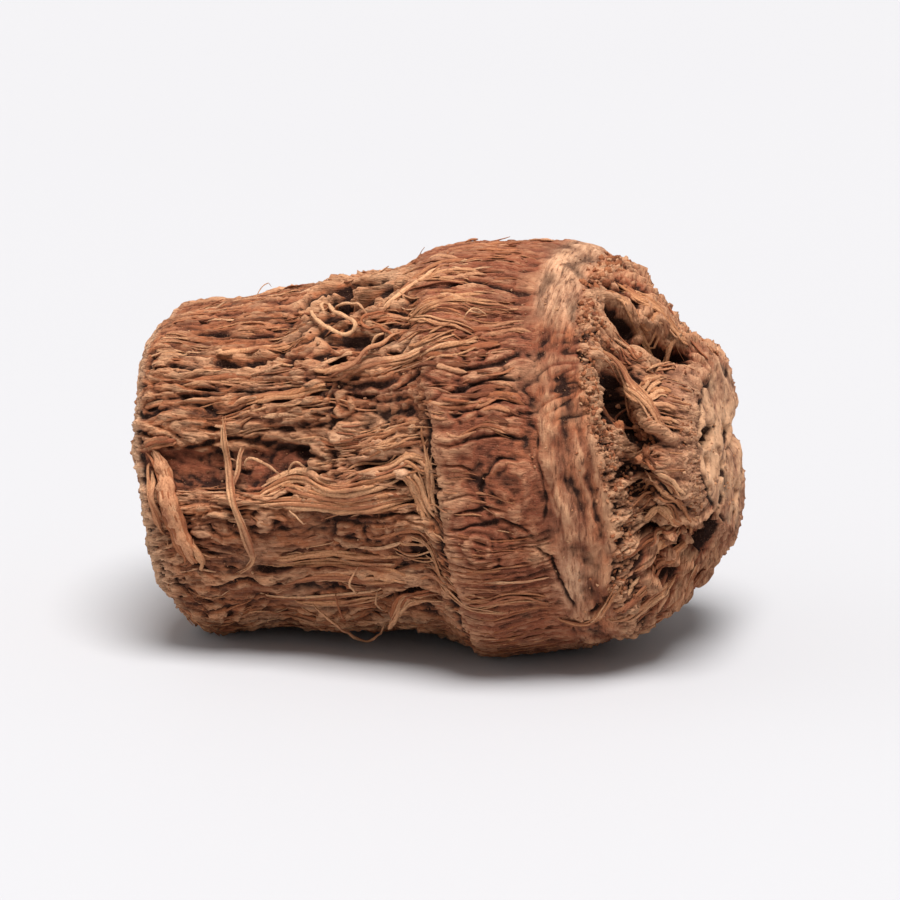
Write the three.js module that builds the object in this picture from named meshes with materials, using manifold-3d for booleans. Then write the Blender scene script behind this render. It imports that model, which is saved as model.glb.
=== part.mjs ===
// A dried stillingia root: one chunk of the thick taproot with its crown, lying on its side.
// The shank runs from a cut end at -X to a thicker collar. A ring-shaped ridge and a crumbly crevice part the
// collar from the crown, which narrows over folded shoulders to a second cut end at +X.
// It is one grown piece, so it is one solid. Millimetres, +Z up, resting on Z = 0. The front is -Y.
import * as THREE from "three";
import Module from "manifold-3d";
import { mergeVertices } from "three/addons/utils/BufferGeometryUtils.js";

const wasm = await Module();
wasm.setup();

// ---- Driving dimensions ----
// Places round the root are angles in degrees: 0 is the front (-Y), 90 the top, 180 the back and
// -90 the underside.
const CUT_X = -28.0; // the shank's cut end
const CROWN_X = 28.6; // the crown's cut end
const LEAN = 0.12; // both ends are cut aslant: how far they shift toward +X for each millimetre further down
const SQUARENESS = 2.25; // superellipse exponent of the sections: a little squarer than an ellipse
const SINK = 0.35; // how much of the rounded underside is pressed flat where the root rests
const CUT_BULGE = 0.9; // how far the middle of each cut end stands out
const CROWN_BULGE = 0.5;

// The split in the crown's cut end, from its middle out to the rim.
const SPLIT = { angle: 176, width: 0.8, depth: 1.3 };

// Facets: columns round the root, the step between rows along it, and the rings on each cut end.
const COLUMNS = 72;
const SHANK_STEP = 1.3;
const COLLAR_STEP = 0.95;
const CROWN_STEP = 0.64;
const FACE_RINGS = [0.86, 0.64, 0.36];

// Sections along the root: x, then the lowest, highest, front and back reach of the bark there.
const SECTIONS = [
  [-28.0, 4.2, 31.0, -13.6, 13.4],
  [-26.9, 1.0, 31.8, -15.9, 15.4],
  [-24.6, 0.4, 32.8, -17.0, 16.6],
  [-20.0, 0.2, 33.3, -17.4, 17.0],
  [-13.0, 1.0, 35.0, -17.6, 17.4],
  [-6.0, 0.9, 37.1, -17.9, 18.0],
  [-2.0, 0.9, 38.8, -18.3, 18.6],
  [2.0, 0.4, 39.9, -18.8, 19.0],
  [7.0, 0.4, 40.1, -19.4, 19.5],
  [12.0, 0.6, 39.6, -19.6, 19.6],
  [17.0, 1.9, 38.4, -19.0, 19.0],
  [20.0, 2.9, 37.1, -17.8, 17.4],
  [22.0, 3.6, 35.5, -16.2, 15.8],
  [24.2, 5.1, 32.0, -13.6, 14.0],
  [26.4, 8.3, 31.1, -11.6, 12.4],
  [28.6, 10.9, 29.8, -9.8, 10.6],
];

// Rings round the root. Each has its width and a route of [angle, x, how high it stands].
const RINGS = {
  ridge: {
    width: 2.2,
    route: [
      [-150, 15.5, 0.8], [-90, 17.0, 0.2], [-34, 18.2, 0.7], [-10, 17.8, 1.1], [7, 17.0, 1.2],
      [20, 16.2, 1.1], [32, 15.1, 0.7], [44, 14.5, 0.9], [55, 13.8, 1.0], [82, 13.0, 0.7], [140, 13.0, 0.6],
      [180, 14.5, 0.9],
    ],
  },
  crumbs: {
    width: 1.1,
    route: [
      [-150, 20.5, 0.5], [-90, 21.5, 0.2], [-34, 21.8, 0.4], [-4, 22.0, 0.8], [20, 20.4, 0.9],
      [44, 18.2, 0.9], [57, 17.5, 0.6], [90, 17.5, 0.3], [140, 18.0, 0.6], [180, 19.0, 0.7],
    ],
  },
  crevice: {
    width: 1.3,
    route: [
      [-150, 22.2, -3.0], [-90, 23.0, -0.8], [-40, 23.2, -1.4], [-10, 22.9, -3.4], [13, 22.5, -4.3],
      [28, 21.5, -4.2], [44, 20.6, -3.6], [66, 20.0, -1.4], [90, 20.4, -0.5], [140, 20.4, -2.6],
      [180, 21.2, -3.4],
    ],
  },
};

// The step up from the shank to the collar: its width, and a route of [angle, x, rise].
const STEP = {
  width: 1.3,
  route: [
    [-150, 3.6, 0.8], [-90, 4.5, 0.5], [-42, 4.9, 0.9], [-12, 4.7, 1.3], [12, 4.2, 1.4], [39, 2.3, 1.3],
    [58, 0.5, 0.8], [90, -2.4, 0.6], [140, -2.0, 0.8], [180, 1.0, 1.0],
  ],
};

// Swellings and hollows: [x, angle, half length, half breadth, height, turn], where the turn is that of
// the length away from the root's axis.
const FORMS = [
  [25.8, 23, 2.6, 9.0, 2.1, 0], // front lobe of the crown
  [22.4, 85, 4.4, 2.5, 1.5, 18], // roof over the hollow above the lobe
  [20.4, 67, 2.8, 2.3, -2.8, -8],
  [25.0, 70, 3.2, 2.1, -3.2, 10],
  [24.8, -14, 2.2, 2.4, -1.8, 0], // hollow with fine folds below the lobe
  [27.8, -38, 2.8, 2.7, -2.8, 20],
  [23.4, -58, 4.0, 4.5, 1.0, -10], // lobes low on the crown and behind it
  [25.4, 142, 2.8, 6.0, 1.9, 8],
  [25.0, -142, 3.0, 5.0, 1.5, 12],
  [25.4, 116, 3.0, 2.5, -1.9, 20],
  [25.8, -174, 3.0, 2.5, -2.4, 0],
  [-17.0, 17, 11.0, 2.0, -1.4, -1], // long dark crevice along the front of the shank
  [-19.5, 8, 5.0, 3.0, -0.7, 0], // the smooth strip below it
  [-16.0, 53, 5.0, 2.0, -1.5, -5],
  [-8.0, 70, 4.0, 2.2, -2.2, 4], // pocket under the loops of fibre
  [-0.8, 22, 3.6, 4.5, -0.9, 0], // worn place before the step
  [-6.2, 18, 1.4, 4.0, 0.7, 0],
  [-7.0, -22, 9.0, 2.0, -1.0, -4],
  [-8.0, -10, 9.0, 3.0, 0.5, -2],
  [-15.0, -52, 8.0, 2.2, -0.8, 4],
  [-14.0, 172, 9.0, 2.6, -1.2, 4], // grooves on the back and the underside of the shank
  [-9.0, 128, 8.0, 2.2, -1.1, -8],
  [-18.0, 108, 6.0, 2.0, -0.9, 5],
  [-17.0, -138, 8.0, 2.2, -1.0, 6],
  [12.2, 3, 2.5, 2.5, 0.8, 0], // round scars of side roots
  [9.3, -15, 2.0, 1.8, 0.5, 0],
  [7.0, 158, 2.6, 2.6, 0.8, 0],
  [6.0, -122, 2.4, 2.2, 0.6, 0],
];

// Rootlets that lie on the bark: routes of [x, angle, height above the bark], half width and half thickness.
const ROOTLETS = {
  strap: {
    route: [
      [-25.3, 19, -0.9], [-24.9, 14, 0.5], [-23.8, 4, 1.0], [-22.9, -6, 0.9], [-22.1, -16, 0.6],
      [-22.1, -21, 0.4], [-23.2, -24, -0.9],
    ],
    half: [0.75, 0.45],
  },
  forkStem: {
    route: [
      [-17.9, 29, -0.7], [-17.8, 25, 0.4], [-17.0, 11, 1.3], [-15.3, -6, 1.0], [-14.6, -18, 0.5],
      [-15.4, -24, 0.3], [-16.6, -27, -0.7],
    ],
    half: [0.45, 0.36],
  },
  forkBranch: {
    route: [[-15.6, 19, -0.6], [-15.7, 15, 0.7], [-15.9, 8, 1.1], [-16.0, 0, 0.8]],
    half: [0.34, 0.3],
  },
  bastBundle: {
    route: [
      [-15.6, -2, -0.7], [-14.4, 1.5, 0.3], [-12.4, 6, 0.7], [-10.2, 7, 0.8], [-6.5, 1.5, 0.4],
      [-3.1, 0.5, 0.3], [0.8, 3, 0.2], [3.2, 7, 0.1], [5.0, 8, -1.0],
    ],
    half: [1.0, 0.6],
  },
  hangingShred: {
    route: [[5.6, -34, -0.9], [3.6, -33.5, 0.5], [0.6, -40, 1.2], [-1.4, -50, 1.6]],
    half: [0.6, 0.36],
  },
};
const ROOTLET_SIDES = 8;
const ROOTLET_STEP = 1.1; // between the rings of facets along a rootlet

const radians = THREE.MathUtils.degToRad;
const smooth = THREE.MathUtils.smoothstep;
const bell = (distance, width) => Math.exp(-((distance / width) ** 2));
const turnBetween = (a, b) => THREE.MathUtils.euclideanModulo(a - b + 180, 360) - 180;

// A smooth curve through rows of numbers, keyed by the first number of each row.
function through(rows, key) {
  let i = 0;
  while (i < rows.length - 2 && key > rows[i + 1][0]) i++;
  const [before, from, to, after] = [i - 1, i, i + 1, i + 2].map(
    (k) => rows[THREE.MathUtils.clamp(k, 0, rows.length - 1)],
  );
  const span = to[0] - from[0];
  const t = THREE.MathUtils.clamp((key - from[0]) / span, 0, 1);
  const [t2, t3] = [t * t, t * t * t];
  return from.slice(1).map((start, k) => {
    const end = to[k + 1];
    const slopeIn = ((end - before[k + 1]) / (to[0] - before[0])) * span;
    const slopeOut = ((after[k + 1] - start) / (after[0] - from[0])) * span;
    return (
      (2 * t3 - 3 * t2 + 1) * start +
      (t3 - 2 * t2 + t) * slopeIn +
      (3 * t2 - 2 * t3) * end +
      (t3 - t2) * slopeOut
    );
  });
}

// The same round a ring, where the last angle leads back to the first.
function around(route, angle) {
  const lap = [-360, 0, 360].flatMap((turn) => route.map(([a, ...rest]) => [a + turn, ...rest]));
  return through(lap, turnBetween(angle, 0));
}

const axisAt = (x) => {
  const [low, high, front, back] = through(SECTIONS, x);
  return new THREE.Vector3(x, (front + back) / 2, (low + high) / 2);
};
const outward = (angle) => new THREE.Vector3(0, -Math.cos(radians(angle)), Math.sin(radians(angle)));

// Slow unevenness of growth.
const unevenness = (x, angle) =>
  0.3 * Math.sin(0.2 * x + radians(2 * angle) + 0.7) +
  0.25 * Math.sin(0.45 * x - radians(3 * angle) + 2.1) +
  0.2 * Math.sin(0.12 * x + radians(7 * angle) + 4.0);

// Distance of the bark from the axis, with its step, rings, swellings and hollows.
function radiusAt(x, angle) {
  const [low, high, front, back] = through(SECTIONS, x);
  const across = Math.abs(Math.cos(radians(angle))) / ((back - front) / 2);
  const up = Math.abs(Math.sin(radians(angle))) / ((high - low) / 2);
  const plain = (across ** SQUARENESS + up ** SQUARENESS) ** (-1 / SQUARENESS);
  const [stepX, stepRise] = around(STEP.route, angle);
  const [ridgeX] = around(RINGS.ridge.route, angle);
  let height = unevenness(x, angle);
  height += stepRise * smooth(x - stepX, -STEP.width, STEP.width) * (1 - smooth(x, stepX + 3, ridgeX));
  height -= 0.4 * stepRise * bell(x - stepX + STEP.width, STEP.width);
  for (const { width, route } of Object.values(RINGS)) {
    const [ringX, rise] = around(route, angle);
    height += rise * bell(x - ringX, width);
  }
  for (const [formX, formAngle, halfLength, halfBreadth, rise, turn] of FORMS) {
    const along = x - formX;
    const round = radians(turnBetween(angle, formAngle)) * plain;
    const [c, s] = [Math.cos(radians(turn)), Math.sin(radians(turn))];
    height += rise * bell(along * c + round * s, halfLength) * bell(round * c - along * s, halfBreadth);
  }
  return plain + height;
}

// The place on the bark, or above it, at x and angle. Toward each end it shifts with the slant of the cut.
function onBark([x, angle, height], share = 1) {
  const reach = share * radiusAt(x, angle) + height;
  const slant = LEAN * (1 - smooth(x, CUT_X, CUT_X + 14) + smooth(x, CROWN_X - 10, CROWN_X));
  const place = axisAt(x).addScaledVector(outward(angle), reach);
  place.x -= slant * reach * outward(angle).z;
  return place;
}

// A closed mesh as a manifold-3d solid.
function solid(geometry) {
  geometry.deleteAttribute("normal");
  geometry.deleteAttribute("uv");
  const merged = mergeVertices(geometry, 1e-4);
  return new wasm.Manifold(
    new wasm.Mesh({
      numProp: 3,
      vertProperties: merged.getAttribute("position").array,
      triVerts: new Uint32Array(merged.index.array),
    }),
  );
}

function geometryOf(made) {
  const mesh = made.getMesh();
  return new THREE.BufferGeometry()
    .setAttribute("position", new THREE.BufferAttribute(mesh.vertProperties, 3))
    .setIndex(new THREE.BufferAttribute(mesh.triVerts, 1));
}

// Places along the root of the rows of facets, closer together where the forms are finer.
function rowPlaces() {
  const stretches = [
    [CUT_X, -4, SHANK_STEP],
    [-4, 12, COLLAR_STEP],
    [12, CROWN_X, CROWN_STEP],
  ];
  const places = stretches.flatMap(([from, to, step]) => {
    const count = Math.round((to - from) / step);
    return Array.from({ length: count }, (_, i) => from + ((to - from) * i) / count);
  });
  return [...places, CROWN_X];
}

// How far the crown's cut end is let in along its split.
function splitDepth(angle, share) {
  const fromMiddle = share * radiusAt(CROWN_X, angle);
  const off = radians(turnBetween(angle, SPLIT.angle));
  const out = smooth(fromMiddle * Math.cos(off), 0, 5);
  return SPLIT.depth * out * bell(fromMiddle * Math.sin(off), SPLIT.width);
}

function body() {
  const rings = [
    ...FACE_RINGS.toReversed().map((share) => ({ x: CUT_X, share, bulge: -CUT_BULGE })),
    ...rowPlaces().map((x) => ({ x, share: 1, bulge: 0 })),
    ...FACE_RINGS.map((share) => ({ x: CROWN_X, share, bulge: CROWN_BULGE })),
  ];
  const points = [];
  for (const { x, share, bulge } of rings) {
    for (let j = 0; j < COLUMNS; j++) {
      const angle = (360 * j) / COLUMNS;
      const point = onBark([x, angle, 0], share);
      point.x += bulge * (1 - share * share);
      if (x === CROWN_X) point.x -= splitDepth(angle, share);
      points.push(point);
    }
  }
  const cutPole = points.push(axisAt(CUT_X).add(new THREE.Vector3(-CUT_BULGE, 0, 0))) - 1;
  const crownPole = points.push(axisAt(CROWN_X).add(new THREE.Vector3(CROWN_BULGE, 0, 0))) - 1;
  const faces = [];
  const last = (rings.length - 1) * COLUMNS;
  for (let j = 0; j < COLUMNS; j++) {
    const next = (j + 1) % COLUMNS;
    faces.push(cutPole, j, next, last + j, crownPole, last + next);
    for (let i = 0; i < last; i += COLUMNS) {
      const [a, b, c, d] = [i + j, i + next, i + COLUMNS + j, i + COLUMNS + next];
      faces.push(a, c, b, b, c, d);
    }
  }
  return solid(new THREE.BufferGeometry().setFromPoints(points).setIndex(faces));
}

function rootlet({ route, half: [halfWidth, halfThickness] }) {
  const path = new THREE.CatmullRomCurve3(route.map((place) => onBark(place)));
  const section = new THREE.Shape();
  for (let i = 0; i < ROOTLET_SIDES; i++) {
    const angle = (2 * Math.PI * i) / ROOTLET_SIDES;
    const [x, y] = [halfThickness * Math.cos(angle), halfWidth * Math.sin(angle)];
    if (i === 0) section.moveTo(x, y);
    else section.lineTo(x, y);
  }
  const steps = Math.ceil(path.getLength() / ROOTLET_STEP);
  return solid(new THREE.ExtrudeGeometry(section, { steps, extrudePath: path, curveSegments: 1 }));
}

// A block that takes away what lies under the surface that the root rests on.
function underTheFloor() {
  const side = 200;
  return solid(new THREE.BoxGeometry(side, side, side).translate(0, 0, SINK - side / 2));
}

let whole = body();
for (const shape of Object.values(ROOTLETS)) whole = whole.add(rootlet(shape));
const geometry = geometryOf(whole.subtract(underTheFloor()));
geometry.computeBoundingBox();
const middle = geometry.boundingBox.getCenter(new THREE.Vector3());
geometry.translate(-middle.x, -middle.y, -SINK);
geometry.computeVertexNormals();

const bark = new THREE.MeshStandardMaterial({ color: 0x8f5b40, roughness: 0.9, metalness: 0 });
const root = new THREE.Mesh(geometry, bark);
root.name = "stillingia_root";
const group = new THREE.Group();
group.add(root);
export default group;
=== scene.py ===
"""A dried stillingia root. The CAD solid gives its forms, and this script its bark, fibres and rootlets.

Lengths in the tables are in millimetres in the CAD's own frame. Angles round the root are in degrees: 0 is
the front (-Y), 90 the top, 180 the back and -90 the underside. Each noise and group of fibres has its seed.
"""

import math
from types import SimpleNamespace

import bpy
import numpy as np
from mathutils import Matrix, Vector
from mathutils.bvhtree import BVHTree


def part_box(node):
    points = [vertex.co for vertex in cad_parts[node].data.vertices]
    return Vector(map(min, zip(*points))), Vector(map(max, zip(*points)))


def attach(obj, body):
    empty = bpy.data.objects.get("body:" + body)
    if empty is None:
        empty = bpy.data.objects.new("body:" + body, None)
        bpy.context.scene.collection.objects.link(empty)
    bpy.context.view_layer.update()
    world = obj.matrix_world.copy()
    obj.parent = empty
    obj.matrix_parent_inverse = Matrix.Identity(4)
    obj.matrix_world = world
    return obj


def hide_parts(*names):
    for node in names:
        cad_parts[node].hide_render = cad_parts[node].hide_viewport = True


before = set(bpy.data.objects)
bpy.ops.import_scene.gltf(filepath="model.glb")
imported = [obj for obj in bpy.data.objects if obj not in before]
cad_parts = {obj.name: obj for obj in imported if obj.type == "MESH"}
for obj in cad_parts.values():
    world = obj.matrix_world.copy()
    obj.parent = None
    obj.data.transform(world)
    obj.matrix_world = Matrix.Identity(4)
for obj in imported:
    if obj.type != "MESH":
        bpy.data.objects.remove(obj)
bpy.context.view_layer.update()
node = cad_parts["stillingia_root"]

MM = 0.001
AROUND = 120.0  # nominal distance round the root
MM_PER_DEGREE = AROUND / 360
VIEW_ANGLE = 14  # the side that the camera sees
SLANT = 0.12  # both ends are cut aslant
AXIS_X = [-30.0, -13.0, 2.0, 12.0, 22.0, 30.0]  # the root's bent axis
AXIS_Z = [16.4, 17.4, 19.6, 19.7, 19.0, 19.9]

ALONG_RAYS, ROUND_RAYS, END_RAYS = 170, 200, 12  # rays along the root, round it and across half an end
RAY_START = 60  # rays at the ends start this far out
END_REACH = 0.97  # share of the way to the rim that an end's rays reach
ROWS, COLUMNS = 430, 980  # the grid on the root's side
CAP_ROWS = 56  # rows of the grid on each end face
MOST_TRIANGLES = 198000  # of the bark


# -------- numbers
def smooth(a, low, high):
    """0 below low, 1 above high and a soft step between."""
    t = np.clip((a - low) / (high - low), 0, 1)
    return t * t * (3 - 2 * t)


def between(a, up, down):
    """1 between two soft edges and 0 outside them, each edge as (start, end)."""
    return smooth(a, *up) * (1 - smooth(a, *down))


def bell(a, width):
    return np.exp(-((a / width) ** 2))


def arc(angle):
    """The distance round the root of an angle."""
    return angle * AROUND / 360


def degrees_of(distance):
    """The angle of a distance round the root."""
    return distance * 360 / AROUND


def signed_angle(turns):
    """Degrees from -180 to 180, from turns of 0 to 1."""
    angle = np.degrees(turns * 2 * math.pi)
    return np.where(angle > 180, angle - 360, angle)


def gradient_noise(u, v, seed, period=None):
    """Smooth noise from about -1 to 1 with cells of size 1, repeating after period cells of v."""
    rng = np.random.default_rng(seed)
    size = 512
    turn = rng.random((size, size)) * 2 * math.pi
    gx, gy = np.cos(turn).astype(np.float32), np.sin(turn).astype(np.float32)
    iu, iv = np.floor(u), np.floor(v)
    fu, fv = u - iu, v - iv
    iu, iv = iu.astype(np.int64), iv.astype(np.int64)
    su = fu * fu * fu * (fu * (fu * 6 - 15) + 10)
    sv = fv * fv * fv * (fv * (fv * 6 - 15) + 10)
    around = period or size

    def corner(du, dv):
        a, b = (iu + du) % size, ((iv + dv) % around) % size
        return gx[a, b] * (fu - du) + gy[a, b] * (fv - dv)

    low = corner(0, 0) * (1 - su) + corner(1, 0) * su
    high = corner(0, 1) * (1 - su) + corner(1, 1) * su
    return (low * (1 - sv) + high * sv) * 1.5


def bark_noise(x, turns, along, across, seed):
    """Noise on the bark: along and across are its grain's sizes in mm. It closes round the root."""
    cells = max(3, round(AROUND / across))
    return gradient_noise(x / along, turns * cells, seed, cells)


def folds(n, sharp=0.42):
    """Rounded ridges with sharp valleys, 0 to 1, from noise."""
    a = np.clip(np.abs(n) / sharp, 0, 1)
    return 1 - (1 - a) ** 2


def ridges(n):
    """The same ridges and valleys, about zero."""
    return folds(n) - 0.6


def grains(n):
    """Softer ridges about zero, for crumbs and grit."""
    return folds(n, 0.5) - 0.5


def blur(a, rows, columns):
    """Box blur done three times; columns wrap round the root."""
    for _ in range(3):
        if columns:
            pad = np.concatenate([a[:, -columns - 1 :], a, a[:, :columns]], 1)
            c = np.cumsum(pad, 1)
            a = (c[:, 2 * columns + 1 :] - c[:, : -2 * columns - 1]) / (2 * columns + 1)
        if rows:
            pad = np.concatenate([np.repeat(a[:1], rows + 1, 0), a, np.repeat(a[-1:], rows, 0)], 0)
            c = np.cumsum(pad, 0)
            a = (c[2 * rows + 1 :] - c[: -2 * rows - 1]) / (2 * rows + 1)
    return a


def blur_points(points, rows, columns):
    return np.stack([blur(points[:, :, k], rows, columns) for k in range(3)], 2)


def refine(a, at):
    """Catmull-Rom through the rows of a at fractional rows."""
    i = np.clip(np.floor(at).astype(int), 0, len(a) - 2)
    f = (at - i).reshape(-1, *[1] * (a.ndim - 1))
    p0, p1 = a[np.clip(i - 1, 0, None)], a[i]
    p2, p3 = a[i + 1], a[np.clip(i + 2, None, len(a) - 1)]
    bend, twist = 2 * p0 - 5 * p1 + 4 * p2 - p3, 3 * p1 - p0 - 3 * p2 + p3
    return 0.5 * (2 * p1 + (p2 - p0) * f + bend * f**2 + twist * f**3)


# -------- the CAD's surface as a grid
low_corner, high_corner = (np.array(c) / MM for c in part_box("stillingia_root"))
CUT_X = low_corner[0] + 1.62  # axis places of the two rims
CROWN_X = high_corner[0] - 1.13


def cad_tree():
    mesh = node.data
    points = [node.matrix_world @ v.co for v in mesh.vertices]
    return BVHTree.FromPolygons(points, [tuple(p.vertices) for p in mesh.polygons])


def slant_at(x):
    return SLANT * (1 - smooth(x, CUT_X, CUT_X + 14) + smooth(x, CROWN_X - 10, CROWN_X))


def axis_z(x):
    return np.interp(x, AXIS_X, AXIS_Z)


def sample_side(tree, places, angles):
    """Where rays from the axis meet the CAD's side."""
    out = np.zeros((len(places), len(angles), 3))
    # at the back the crown's rim lies further in, so its rays start further in too
    shorter = 0.8 * bell(np.degrees(angles) - 172, 12)
    for i, x in enumerate(places):
        lean = slant_at(x)
        near_rim = smooth(x, CROWN_X - 4, CROWN_X)
        for j, a in enumerate(angles):
            start = Vector((x - shorter[j] * near_rim, 0, axis_z(x))) * MM
            way = Vector((-lean * math.sin(a), -math.cos(a), math.sin(a))).normalized()
            hit = tree.ray_cast(start, way)[0]
            out[i, j] = (hit if hit is not None else start + way * 0.01) / MM
    return out


def sample_end(tree, rim, middle_z, x_far, shares):
    """Where rays along X meet an end face, on lines from its middle to its rim."""
    out = np.zeros((len(shares), rim.shape[0], 3))
    way = Vector((-math.copysign(1, x_far), 0, 0))
    for i, s in enumerate(shares):
        for j, p in enumerate(rim):
            y, z = p[1] * s, middle_z + (p[2] - middle_z) * s
            hit = tree.ray_cast(Vector((x_far, y, z)) * MM, way)[0]
            out[i, j] = (hit / MM) if hit is not None else (p[0], y, z)
    return out


def column_turns(count):
    """Turns round the root of the columns, closer together on the side that is seen."""
    fine = np.linspace(0, 1, 4001)
    density = 1 + 0.9 * (0.5 + 0.5 * np.cos(2 * math.pi * (fine - VIEW_ANGLE / 360)))
    total = np.concatenate([[0], np.cumsum((density[1:] + density[:-1]) / 2)])
    return np.interp(np.arange(count) / count, total / total[-1], fine)


def base_grid():
    """The CAD's surface as rows along the root, with each row's place and share of the way to the rim."""
    tree = cad_tree()
    ray_places = np.linspace(CUT_X + 0.02, CROWN_X - 0.02, ALONG_RAYS)
    ray_angles = np.arange(ROUND_RAYS) / ROUND_RAYS * 2 * math.pi
    side = sample_side(tree, ray_places, ray_angles)
    shares = np.linspace(0.0, END_REACH, END_RAYS)
    cut = sample_end(tree, side[0], axis_z(CUT_X), -RAY_START, shares)
    crown = sample_end(tree, side[-1], axis_z(CROWN_X), RAY_START, shares[::-1])
    side = blur_points(side, 1, 1)
    turns = column_turns(COLUMNS)

    def columns_of(a):
        wrapped = np.concatenate([a[:, -2:], a, a[:, :3]], 1)
        return np.swapaxes(refine(np.swapaxes(wrapped, 0, 1), turns * ROUND_RAYS + 2), 0, 1)

    side = refine(columns_of(side), np.linspace(0, ALONG_RAYS - 1, ROWS))
    last = END_RAYS - 1
    cap_at = np.linspace(0, 1, CAP_ROWS) ** 0.8 * last
    cut = refine(columns_of(cut), cap_at)
    crown = refine(columns_of(crown), last - cap_at[::-1])
    # the rims are rounded a little
    points = np.concatenate([cut, side, crown], 0)
    soft = blur_points(points, 2, 0)
    rows = np.arange(len(points))[:, None, None]
    near = bell(rows - CAP_ROWS, 5.0) + bell(rows - CAP_ROWS - ROWS, 5.0)
    points = points * (1 - near) + soft * near
    side_places = np.linspace(CUT_X, CROWN_X, ROWS)
    places = np.concatenate([np.full(CAP_ROWS, CUT_X), side_places, np.full(CAP_ROWS, CROWN_X)])
    share = np.concatenate([cap_at / last * END_REACH, np.ones(ROWS), cap_at[::-1] / last * END_REACH])
    return points, places, share, turns


def normals_of(points, softness):
    soft = blur_points(points, softness, softness)
    down = np.gradient(soft, axis=0)
    across = np.roll(soft, -1, 1) - np.roll(soft, 1, 1)
    n = np.cross(across, down)
    n /= np.linalg.norm(n, axis=2, keepdims=True) + 1e-12
    return n


def worn(points, places, turns):
    """The crown's underside falls away behind its end face, and the cut end is chipped above the crack."""
    angle = signed_angle(turns)[None, :]
    x = places[:, None]
    middle = np.array([0.0, axis_z(CROWN_X)])
    pull = 0.26 * smooth(x, CROWN_X - 5, CROWN_X - 1) * bell(angle + 74, 34)
    points[:, :, 1:] = middle + (points[:, :, 1:] - middle) * (1 - pull)[:, :, None]
    chipped = 0.75 * bell(angle - 42, 24) + 0.75 * bell(angle + 6, 16) + 0.8 * bell(angle + 62, 18)
    points[:, :, 0] += chipped * (1 - smooth(x, CUT_X, CUT_X + 4))
    return points


print("sampling the CAD surface")
base, places, share, turns = base_grid()
base = worn(base, places, turns)
# the relief follows these normals, which are steadier than the surface's own
normals = normals_of(base, 5)
front_y = normals[CAP_ROWS + ROWS // 2, 0, 1]
if front_y > 0:
    normals = -normals

X = np.broadcast_to(places[:, None], base.shape[:2])
T = np.broadcast_to(turns[None, :], base.shape[:2])
A = signed_angle(T)
TURNED = (A + 360) % 360  # the same angle from 0 to 360
SHARE = np.broadcast_to(share[:, None], base.shape[:2])
ON_SIDE = SHARE > 0.985


# -------- places and lines on the bark
# Rings of places round the root, as (angle, x): where the collar begins, the ridge, the crumb band and the
# crevice.
STEP = [
    (-150, 3.4), (-90, 5.4), (-42, 6.6), (-30, 6.5), (-18, 5.8), (-1, 5.1), (13, 4.5), (39, 2.3), (58, 0.3),
    (90, -2.6), (140, -2.2), (180, 0.8),
]
RIDGE = [
    (-150, 15.3), (-90, 16.8), (-34, 18.0), (-10, 17.6), (7, 16.8), (20, 16.0), (32, 14.9), (44, 14.3),
    (55, 13.6), (82, 12.8), (140, 12.8), (180, 14.3),
]
CRUMBS = [
    (-150, 20.3), (-90, 21.3), (-34, 21.6), (-4, 21.8), (20, 20.2), (44, 18.0), (57, 17.3), (90, 17.3),
    (140, 17.8), (180, 18.8),
]
CREVICE = [
    (-150, 22.2), (-90, 23.0), (-40, 23.2), (-10, 22.9), (13, 22.5), (28, 21.5), (44, 20.6), (66, 20.0),
    (90, 20.4), (140, 20.4), (180, 21.2),
]

def around_route(route, angle):
    """x of a ring at each angle, from rows of (angle, x)."""
    a = np.array([r[0] for r in route], float)
    x = np.array([r[1] for r in route], float)
    a3, x3 = np.concatenate([a - 360, a, a + 360]), np.tile(x, 3)
    order = np.argsort(a3)
    return np.interp(angle, a3[order], x3[order])


def angle_from(a0):
    """Degrees round the root from a0, -180 to 180."""
    return (A - a0 + 180) % 360 - 180


def along_line(route, x, angle):
    """Distance in mm from a line on the bark, signed toward higher angles, and how far its ends fade."""
    best = np.full(x.shape, 99.0)
    fade = np.zeros(x.shape)
    corners = [np.array([r[0], r[1] * MM_PER_DEGREE]) for r in route]
    total = sum(np.linalg.norm(b - a) for a, b in zip(corners, corners[1:]))
    ends = min(0.8, total * 0.25)
    gone = 0.0
    y = angle * MM_PER_DEGREE
    for a, b in zip(corners, corners[1:]):
        d = b - a
        length = np.linalg.norm(d)
        dy = (y - a[1] + AROUND / 2) % AROUND - AROUND / 2
        t = np.clip(((x - a[0]) * d[0] + dy * d[1]) / length**2, 0, 1)
        off = np.hypot(x - a[0] - t * d[0], dy - t * d[1])
        side = np.sign(d[0] * dy - d[1] * (x - a[0]))
        nearer = off < np.abs(best)
        best = np.where(nearer, off * side, best)
        s = gone + t * length
        fade = np.where(nearer, between(s, (0, ends * 2), (total - ends * 2, total)), fade)
        gone += length
    return best, fade


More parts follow.
